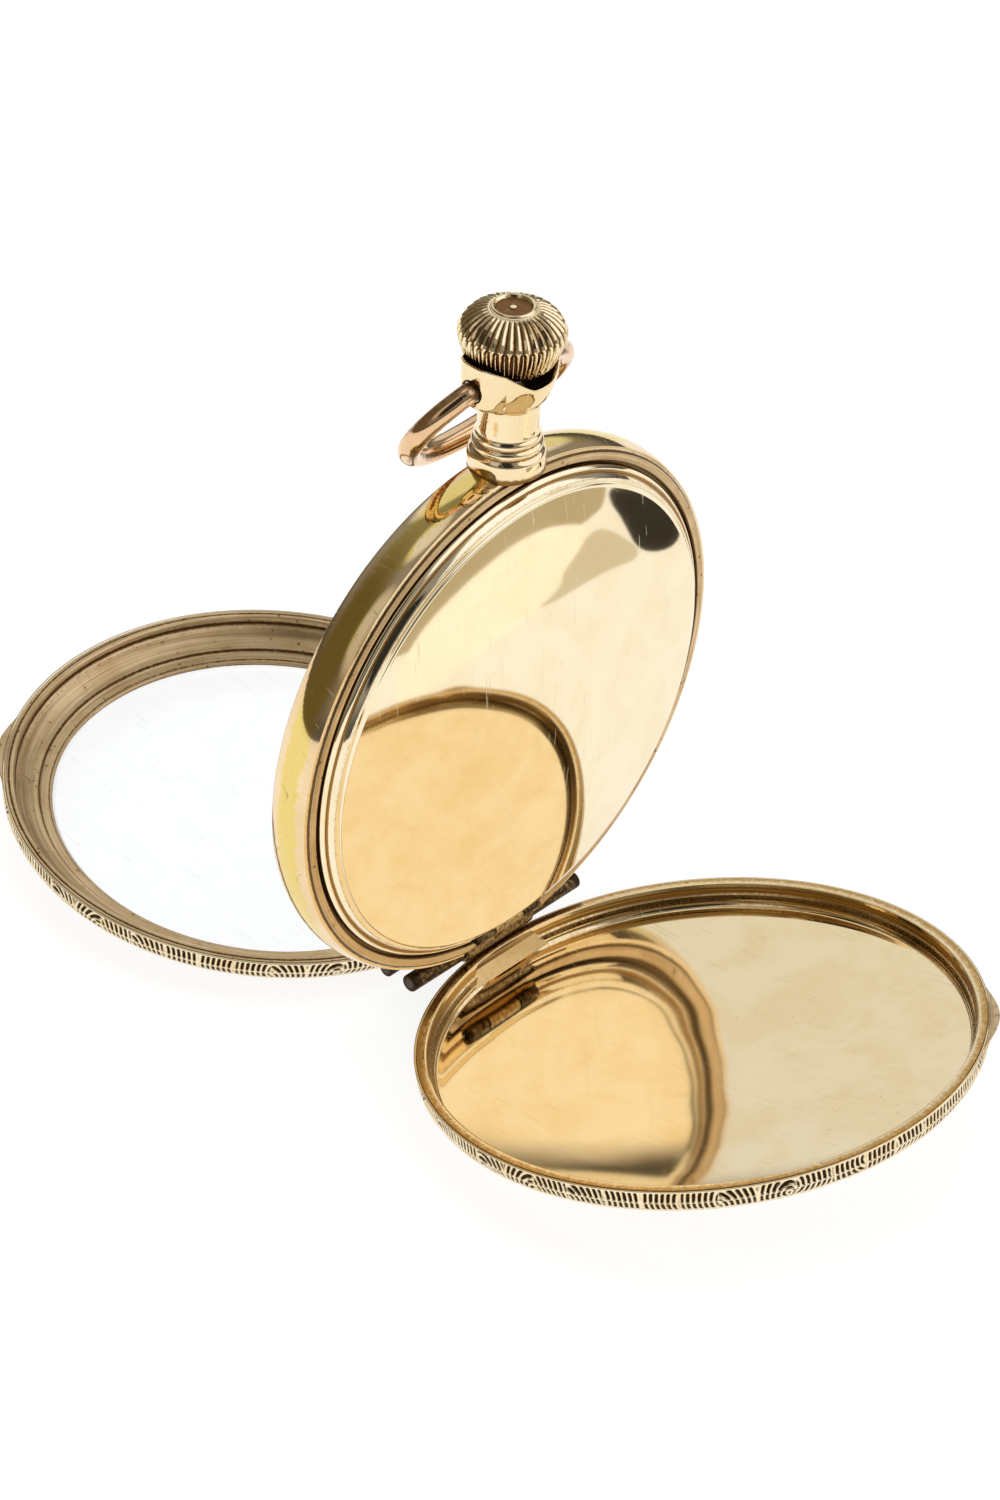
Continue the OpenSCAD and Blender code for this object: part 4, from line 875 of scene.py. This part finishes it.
def pendant():
    """Collar rings, neck, and a cup whose rim dips at the front and back and rises into two ears."""
    columns = 360
    angle = np.arange(columns) * TAU / columns
    collar = rounded([(3.74, COLLAR_FOOT), (3.78, 28.6), (3.80, 29.2, 0.3), (3.72, 29.9, 0.3),
                      (3.40, 30.25, 0.1), (3.30, GROOVES[0], 0.08), (3.46, 30.62, 0.15), (3.44, 30.95, 0.15),
                      (3.20, 31.15, 0.08), (3.12, GROOVES[1], 0.08), (3.26, 31.52, 0.12), (3.20, 31.84, 0.12),
                      (2.98, 32.1, 0.15), (2.92, 32.5, 0.2), (2.94, 33.3), (3.0, NECK_TOP)], 3)
    cup = refined(rounded([(3.0, NECK_TOP), (3.06, 35.5, 0.25), (3.75, 36.25, 0.35), (4.2, 37.3, 0.6),
                           (4.45, 38.6, 0.6), (4.62, 41.1)], 5), 0.1, False)
    sideways = np.abs(np.cos(angle))
    ear = np.clip((sideways - 0.79) / 0.21, 0, 1)
    rim_z = CUP_DIP + EAR_RISE * np.clip((sideways - 0.25) / 0.70, 0, 1) ** 1.3
    rows = [ring_row(r, angle, z) for r, z in refined(collar, 0.3, False)]
    for share in np.linspace(0, 1, 70)[1:]:
        z = NECK_TOP + (rim_z - NECK_TOP) * share
        flare = np.interp(z, cup[:, 1], cup[:, 0])
        lobe = np.clip((z - 35.3) / 1.6, 0, 1)
        lobe = lobe * lobe * (3 - 2 * lobe)
        flat = np.minimum(EAR_X / np.maximum(sideways, 0.3), EAR_X + 0.12)
        rim_r = flare + (flat - flare) * ear * lobe
        rows.append(ring_row(rim_r, angle, z))
    for inward, lift in ((0.06, 0.05), (0.16, 0.06), (0.28, 0.0)):
        rows.append(ring_row(rim_r - inward, angle, rim_z + lift))
    outside = len(rows) * columns
    for share in np.linspace(0.12, 1, 12):
        z = rim_z + (CUP_FLOOR + 0.05 - rim_z) * share
        wall = np.interp(z, [CUP_FLOOR, 38.9, 40.9, 41.3], [3.45, 3.95, 4.85, 4.9])
        rows.append(ring_row(np.minimum(rim_r - 0.3, wall), angle, z))
    bore = [(3.2, CUP_FLOOR), (2.05, CUP_FLOOR), (2.02, 38.1), (2.0, 34.0), (2.0, 29.0), (2.0, COLLAR_FOOT)]
    rows += [ring_row(r, angle, z) for r, z in bore]
    points = np.concatenate(rows)
    # the closed covers pass under the collar's overhang
    clear = np.sqrt(np.maximum((CASE_R + 0.05) ** 2 - points[:, 0] ** 2, 0))
    over = (np.abs(points[:, 1]) > 1.4) & (points[:, 2] < clear)
    points[:, 2] = np.where(over, clear, points[:, 2])
    z = points[:, 2]
    # a painted shadow line under the collar's bulge, and grime and painted shade in the grooves and inside
    # the cup
    grime_and_shade = np.exp(-((z - 28.1) / 0.45) ** 2)
    for groove in GROOVES:
        grime_and_shade += 0.6 * np.exp(-((z - groove) / 0.15) ** 2)
    grime_and_shade[outside:] += 0.9
    piece("pendant_cup", points, grid_faces(len(rows), columns, True, True), "case", "pendant_gold", CASE,
          grime_and_shade, stands_for="pendant")
    # a dark ring round each bow hole is a painted shadow of the gap round the wire
    rim = refined(rounded([(1.05, 0.0), (1.24, 0.0), (1.22, 0.075, 0.02), (1.05, 0.075, 0.02)]), 0.2)
    for side, name in ((-1, "left"), (1, "right")):
        place = Matrix.Translation(Vector((side * (EAR_X - 0.07), PIVOT.y, PIVOT.z)) * MM)
        turn = Matrix.Rotation(side * math.pi / 2, 4, "Y")
        piece("bow_hole_shadow_" + name, *lathe(rim, 48), "case", "hinge_gold", CASE @ place @ turn, 1.0)


def bow():
    """Round wire bent into a bow whose ends turn into the ears; streaked, with painted shade at its ends in
    the ears.
    """
    sides = 28
    along = np.radians(np.linspace(BOW_START, 180 - BOW_START, 150))
    main = np.stack([BOW_W * np.cos(along), BOW_H * (0.83 + np.sin(along))], 1)
    start, first = np.array([EAR_X + 0.03, 0.0]), main[0]
    heading = main[1] - main[0]
    heading /= np.linalg.norm(heading)
    t = np.linspace(0, 1, 12)[:-1, None]
    lead = ((1 - t) ** 3 * start + 3 * (1 - t) ** 2 * t * (start + [0.6, 0]) + 3 * (1 - t) * t * t *
            (first - 0.6 * heading) + t ** 3 * first)
    path = np.concatenate([lead, main, (lead * [-1, 1])[::-1]])
    tangent = np.gradient(path, axis=0)
    tangent /= np.linalg.norm(tangent, axis=1, keepdims=True)
    tangent[[0, -1]] = (1, 0)
    steps = len(path)
    share = np.linspace(0, 1, steps)
    radius = BOW_WIRE * (0.92 + 0.12 * np.sin(np.pi * share))
    radius[[0, -1]] *= 0.96
    around = np.arange(sides) * TAU / sides
    rows = []
    for (x, y), (along_x, along_y), r in zip(path, tangent, radius):
        across = r * np.cos(around)
        rows.append(np.stack([x - along_y * across, r * np.sin(around), -(y + along_x * across)], 1))
    pivot = CASE @ Matrix.Translation(PIVOT * MM) @ Matrix.Rotation(-math.radians(BOW_HANG), 4, "X")
    ends = np.repeat(np.minimum(np.arange(steps), np.arange(steps)[::-1]), sides)
    streak = smooth_random(np.tile(around, steps) * 2.0, np.repeat(share * 30, sides) * 0.25, 31, 2.2)
    # random dark streaks, and painted shade near the ends where the wire goes into the ears
    grime_and_shade = np.clip(0.42 * streak, 0, 1) + 0.8 * np.exp(-ends / 3.0)
    piece("bow_wire", np.concatenate(rows), capped_faces(steps, sides), "bow", "bow_rose_gold", pivot, grime_and_shade,
          "rose_gold", "bow")


def crown():
    """Ribbed dome with a sunk disc, over a ring of interlocking pointed teeth."""
    columns = CROWN_FLUTES * 22
    angle = np.arange(columns) * TAU / columns
    # 1 on a rib's crest, 0 in the valley between
    rib = np.abs((angle * CROWN_FLUTES / TAU % 1.0) - 0.5) * 2
    side = [(3.2, CROWN_FOOT), (3.62, 39.4), (3.95, 39.8), (4.2, 40.2), (4.42, 40.65), (4.62, 41.15),
            (4.78, 41.6), (4.9, 42.05), (4.98, 42.4), (5.02, 42.7), (5.0, 42.95)]
    dome = [(4.93, 43.2), (4.78, 43.52), (4.53, 43.86), (4.2, 44.2), (3.8, 44.52), (3.35, 44.8),
            (2.9, 45.02), (2.4, 45.18), (2.2, 45.22)]
    cap = rounded([(2.2, 45.25), (2.14, 45.42, 0.06), (2.0, 45.53, 0.08), (1.82, 45.45, 0.06),
                   (1.68, 45.2, 0.06), (1.55, 45.16, 0.05), (0.42, 45.2, 0.1), (0.3, 45.3, 0.06),
                   (0.02, 45.32)])
    rows = [ring_row(0.0, angle, CROWN_FOOT)]
    # darker in the valleys between teeth and ribs, in the sunk disc and towards the foot: grime and painted
    # shade
    dirt_and_shade = [np.full(columns, 0.6)]
    for r, z in refined(side, 0.16, False):
        down = np.clip((CROWN_SHOULDER - z) / TEETH_LENGTH, 0, 1)
        from_above = np.clip(1 - (1 - rib) / max(0.72 * (1 - down), 0.04), 0, 1)
        from_below = np.clip(1 - rib / max(0.66 * down, 0.04), 0, 1)
        height = np.maximum(from_above, from_below) ** 0.7
        fade = np.clip((z - 39.35) / 0.5, 0, 1)
        rows.append(ring_row(r + (0.13 - 0.5 * (1 - height)) * fade, angle, z))
        dirt_and_shade.append(1.2 * (1 - height) ** 1.5 * fade + 0.5 * (1 - fade))
    for r, z in refined(dome, 0.2, False):
        fade = np.clip((r - 2.25) / 0.35, 0, 1)
        lift = 0.26 * (rib ** 0.8 - 0.55) * fade * min(1.0, r / 4.0)
        rows.append(ring_row(r + 0.5 * lift, angle, z + 0.8 * lift))
        dirt_and_shade.append(0.8 * (1 - rib) ** 2 * fade)
    for r, z in refined(cap, 0.2, False)[:-1]:
        rows.append(ring_row(r, angle, z))
        dirt_and_shade.append(np.full(columns, 0.55 if r < 1.7 and z < 45.28 else 0.1))
    rows.append(ring_row(0.0, angle, z))
    dirt_and_shade.append(np.full(columns, 0.1))
    piece("crown_knob", np.concatenate(rows), grid_faces(len(rows), columns, False, True), "crown",
          "crown_gold", CASE, np.concatenate(dirt_and_shade), stands_for="crown")


# ---------- dial and hands ----------

NUMERALS = ["XII", "I", "II", "III", "IIII", "V", "VI", "VII", "VIII", "IX", "X", "XI"]


def flat_shape(outline, low, high):
    """A closed outline (x, y) given thickness from low to high."""
    n = len(outline)
    points = [(x, y, low) for x, y in outline] + [(x, y, high) for x, y in outline]
    faces = [list(range(n)), list(range(n, 2 * n))]
    faces += [[i, (i + 1) % n, n + (i + 1) % n, n + i] for i in range(n)]
    return np.array(points), faces


def bar(a, b, width_a, width_b=None):
    """A straight stroke from a to b."""
    a, b = np.array(a, float), np.array(b, float)
    d = (b - a) / np.linalg.norm(b - a)
    side = np.array([-d[1], d[0]])
    width_b = width_a if width_b is None else width_b
    return [tuple(p) for p in (a - side * width_a / 2, b - side * width_b / 2, b + side * width_b / 2,
                               a + side * width_a / 2)]


def numeral(text, height):
    """Strokes of a Roman numeral with thick and thin lines and serifs, centred on the origin."""
    thick, thin = 0.16 * height, 0.045 * height
    widths = {"I": 0.30 * height, "V": 0.62 * height, "X": 0.62 * height}
    x = -sum(widths[c] for c in text) / 2
    out = []
    low, high = -height / 2, height / 2
    for c in text:
        w = widths[c]
        mid = x + w / 2
        if c == "I":
            out.append(bar((mid, low), (mid, high), thick))
            heads = feet = [mid]
        else:
            spread = (0.36 if c == "V" else 0.34) * w
            foot = spread if c == "X" else 0
            out.append(bar((mid - spread, high), (mid + foot, low), thick))
            out.append(bar((mid + spread, high), (mid - foot, low), thin))
            heads = [mid - spread, mid + spread]
            feet = heads if c == "X" else []
        out += [bar((f - 0.13 * height, low), (f + 0.13 * height, low), thin) for f in feet]
        out += [bar((f - 0.13 * height, high), (f + 0.13 * height, high), thin) for f in heads]
        x += w
    return out


def rotated(outline, centre_r, angle):
    """Moves strokes to a clock place: angle in degrees clockwise from 12."""
    c, s = math.cos(math.radians(angle)), math.sin(math.radians(angle))
    return [(x * c + (y + centre_r) * s, (y + centre_r) * c - x * s) for x, y in outline]


def ring_strokes(radius, width, count=180):
    """A thin flat ring, for a printed circle."""
    low, high = radius - width / 2, radius + width / 2
    return lathe([(low, 0.0), (high, 0.0), (high, 0.015), (low, 0.015)], count)


def dial():
    front, back = -DIAL_FRONT, -DIAL_BACK
    section = refined(rounded([(1.3, back), (DIAL_R, back, 0.05), (DIAL_R, front - 0.12, 0.1),
                               (DIAL_R - 0.5, front - 0.01, 0.3), (1.36, front - 0.01, 0.06),
                               (1.3, front - 0.1)]), 0.25)

    def sink(points, *_):
        away = np.hypot(points[..., 0], points[..., 1] + SECONDS_DROP)
        edge = np.clip((SINK_R - away) / 0.25, 0, 1)
        on_front = points[..., 2] > front - 0.05
        points[..., 2] -= np.where(on_front, SINK * edge * edge * (3 - 2 * edge), 0)
        return points

    piece("dial_enamel", *lathe(section, 360, True, sink), "case", "white_enamel", FACING_FRONT,
          slot="enamel", stands_for="dial")
    parts = [flat_shape(outline, level - 0.02, level + 0.012) for outline, level in dial_marks(front)]
    for radius, width, down, level in ((MINUTE_R, 0.1, 0, front), (MINUTE_R + 0.95, 0.1, 0, front),
                                       (SECONDS_R, 0.07, SECONDS_DROP, front - SINK),
                                       (SECONDS_R + 0.7, 0.07, SECONDS_DROP, front - SINK)):
        points, faces = ring_strokes(radius, width)
        parts.append((points + (0, -down, level - 0.004), faces))
    piece("dial_print", *merged(parts), "case", "dial_ink", FACING_FRONT, slot="enamel", weld=False)


def dial_marks(front):
    """Outlines of the numerals and of the minute and seconds marks, each with the height it lies at."""
    marks = [(rotated(stroke, NUMERAL_R, 30 * hour), front)
             for hour, text in enumerate(NUMERALS) if hour != 6 for stroke in numeral(text, NUMERAL_H)]
    for tick in range(60):
        wide, length = (0.30, 0.95) if tick % 5 == 0 else (0.13, 0.8)
        marks.append((rotated(bar((0, 0), (0, length), wide), MINUTE_R, 6 * tick), front))
    for tick in range(60):
        wide, length = (0.16, 0.7) if tick % 5 == 0 else (0.07, 0.5)
        mark = rotated(bar((0, 0), (0, length), wide), SECONDS_R, 6 * tick)
        marks.append(([(x, y - SECONDS_DROP) for x, y in mark], front - SINK))
    return marks


FINISH = {
    "striped_nickel": ["pillar_plate", "pillars", "barrel_bridge", "train_bridge", "balance_cock",
                       "pallet_bridge"],
    "winding_wheel_steel": ["ratchet_wheel", "crown_wheel", "pendant_sleeve"],
    "blued_steel": ["bridge_screws", "case_screws", "ratchet_screw", "crown_wheel_screw", "click_screw",
                    "hairspring", "hour_hand", "minute_hand", "seconds_hand"],
    "ruby": ["jewels", "pallet_stones", "roller_jewel"],
    "gilt_brass": ["mainspring_barrel", "center_wheel", "third_wheel", "fourth_wheel", "balance_wheel",
                   "balance_screws", "hour_wheel", "minute_wheel"],
    "polished_steel": ["crown_stem", "barrel_arbor", "mainspring", "click", "click_spring", "winding_arbor",
                       "escape_wheel", "pallet_fork", "balance_staff", "regulator", "cannon_pinion"],
    "hinge_pin_steel": ["back_hinge_pin", "front_hinge_pin", "inner_hinge_pin"],
}


def finish_nodes():
    for finish, names in FINISH.items():
        for name in names:
            materials = frame["nodes"][name].data.materials
            materials.clear()
            materials.append(MATERIALS[finish])


# ---------- studio ----------


FLOOR_HALF = 3.0
FLOOR_Z = -0.00002


def add_floor():
    corners = [(x * FLOOR_HALF, y * FLOOR_HALF, FLOOR_Z) for x, y in ((-1, -1), (1, -1), (1, 1), (-1, 1))]
    add_sheet("floor", corners, (0.22, 0.22, 0.22), (0.87, 0.87, 0.87))


def plain(name, colour, glow):
    """A matt studio surface that also shines a little, so that its shadows stay faint."""
    n = Nodes(name)
    n.set(Base_Color=colour, Roughness=0.9, Specular_IOR_Level=0.0, Emission_Color=glow,
          Emission_Strength=1.0)


def add_sheet(name, points, colour, glow):
    """A flat sheet of the studio."""
    plain(name, colour, glow)
    mesh = bpy.data.meshes.new(name)
    mesh.from_pydata(points, [], [list(range(len(points)))])
    mesh.materials.append(MATERIALS[name])
    sheet = bpy.data.objects.new(name, mesh)
    bpy.context.scene.collection.objects.link(sheet)
    return sheet


def hide_from(item, *rays):
    for ray in rays:
        setattr(item, "visible_" + ray, False)


def floor_card(name, outline, level, lift):
    """A card that lies on the floor and shows only in reflections; outline in millimetres."""
    outline = np.array(outline, float)
    for _ in range(4):
        ahead = np.roll(outline, -1, 0)
        outline = np.stack([0.75 * outline + 0.25 * ahead, 0.25 * outline + 0.75 * ahead], 1).reshape(-1, 2)
    card = add_sheet(name, [(x * MM, y * MM, lift * MM) for x, y in outline.tolist()], (0, 0, 0), level)
    hide_from(card, "camera", "shadow", "diffuse", "transmission")


def softbox(name, place, look_at, size, power):
    """A soft light that the camera and reflections don't show."""
    data = bpy.data.lights.new(name, "AREA")
    data.shape = "RECTANGLE"
    data.size, data.size_y = size, 0.8 * size
    data.energy = power
    light = bpy.data.objects.new(name, data)
    bpy.context.scene.collection.objects.link(light)
    direction = Vector(look_at) - Vector(place)
    light.matrix_world = Matrix.Translation(place) @ direction.to_track_quat("-Z", "Y").to_matrix().to_4x4()
    hide_from(light, "camera", "glossy")


# Direction, half angle and edge width in degrees, and colour of each part of the studio's surround
SURROUND = [
    ((0.74, -0.56, 0.42), 36, 34, (0.15, 0.12, 0.07)),
    ((0.1, -0.1, 0.99), 12, 6, (0.80, 0.80, 0.78)),
    ((0.72, 0.14, 0.68), 17, 10, (0.62, 0.60, 0.55)),
    ((-0.55, -0.62, 0.56), 27, 6, (0.86, 0.88, 0.90)),
    ((-0.52, 0.58, 0.60), 36, 6, (1.15, 1.17, 1.28)),
    ((0.594, 0.531, 0.604), 20, 6, (0.03, 0.03, 0.03)),
]
SURROUND_BASE = (0.30, 0.29, 0.27)
HORIZON = (0.10, 0.095, 0.09)


def add_world():
    """White for the camera; for reflections a grey room with light panels and a dark horizon."""
    world = bpy.data.worlds.new("studio")
    world.use_nodes = True
    n = Nodes.__new__(Nodes)
    n.tree = world.node_tree
    direction = n.node("TexCoord", {}, "Generated")
    height = n.node("SeparateXYZ", {0: direction}, 2)
    colour = n.colours(n.steps(height, 0.05, 0.30), HORIZON, SURROUND_BASE)
    for axis, half, edge, light in SURROUND:
        facing = n.node("VectorMath", {0: direction, 1: Vector(axis).normalized()}, "Value",
                        operation="DOT_PRODUCT")
        near = math.cos(math.radians(half - edge / 2))
        far = math.cos(math.radians(half + edge / 2))
        colour = n.colours(n.steps(facing, far, near), colour, light)
    is_seen = n.math("MAXIMUM", n.node("LightPath", {}, "Is Camera Ray"),
                     n.node("LightPath", {}, "Is Transmission Ray"))
    n.put(n.tree.nodes["Background"].inputs["Color"], n.colours(is_seen, colour, (1, 1, 1)))
    bpy.context.scene.world = world


FLOOR_CARDS = [
    ("card_bright", [(-13, 72), (-29, 78), (-48, 76), (-68, 75), (-77, 80), (-96, 83), (-103, 96),
                     (-100, 124), (-62, 128), (-28, 104)], (1.16, 1.13, 1.06), 0.3),
    ("card_tan", [(-60, 76), (-72, 74), (-80, 82), (-99, 85), (-97, 70), (-86, 46), (-80, 62)],
     (0.74, 0.68, 0.57), 0.2),
    ("card_dark", [(-124, 99), (-116, 68), (-104, 44), (-88, 33), (-86, 50), (-101, 69)],
     (0.04, 0.035, 0.03), 0.4),
    ("card_edge", [(-20, 190), (-130, 215), (-140, 125), (-128, 98), (-105, 86), (-92, 110), (-60, 116),
                   (-20, 96)], (0.55, 0.47, 0.33), 0.1),
]


def studio():
    add_world()
    add_floor()
    for card in FLOOR_CARDS:
        floor_card(*card)
    middle = (0, 0, 0.03)
    softbox("softbox_top", (-0.05, -0.1, 0.9), middle, 0.6, 2.2)
    softbox("softbox_left", (0.65, -0.25, 0.55), middle, 0.35, 1.0)
    bpy.context.scene.view_settings.view_transform = "Standard"


# ---------- build ----------

case_band()
case_knuckles()
back_cover()
front_bezel()
crystal()
inner_cover()
pendant()
bow()
crown()
dial()
finish_nodes()
studio()
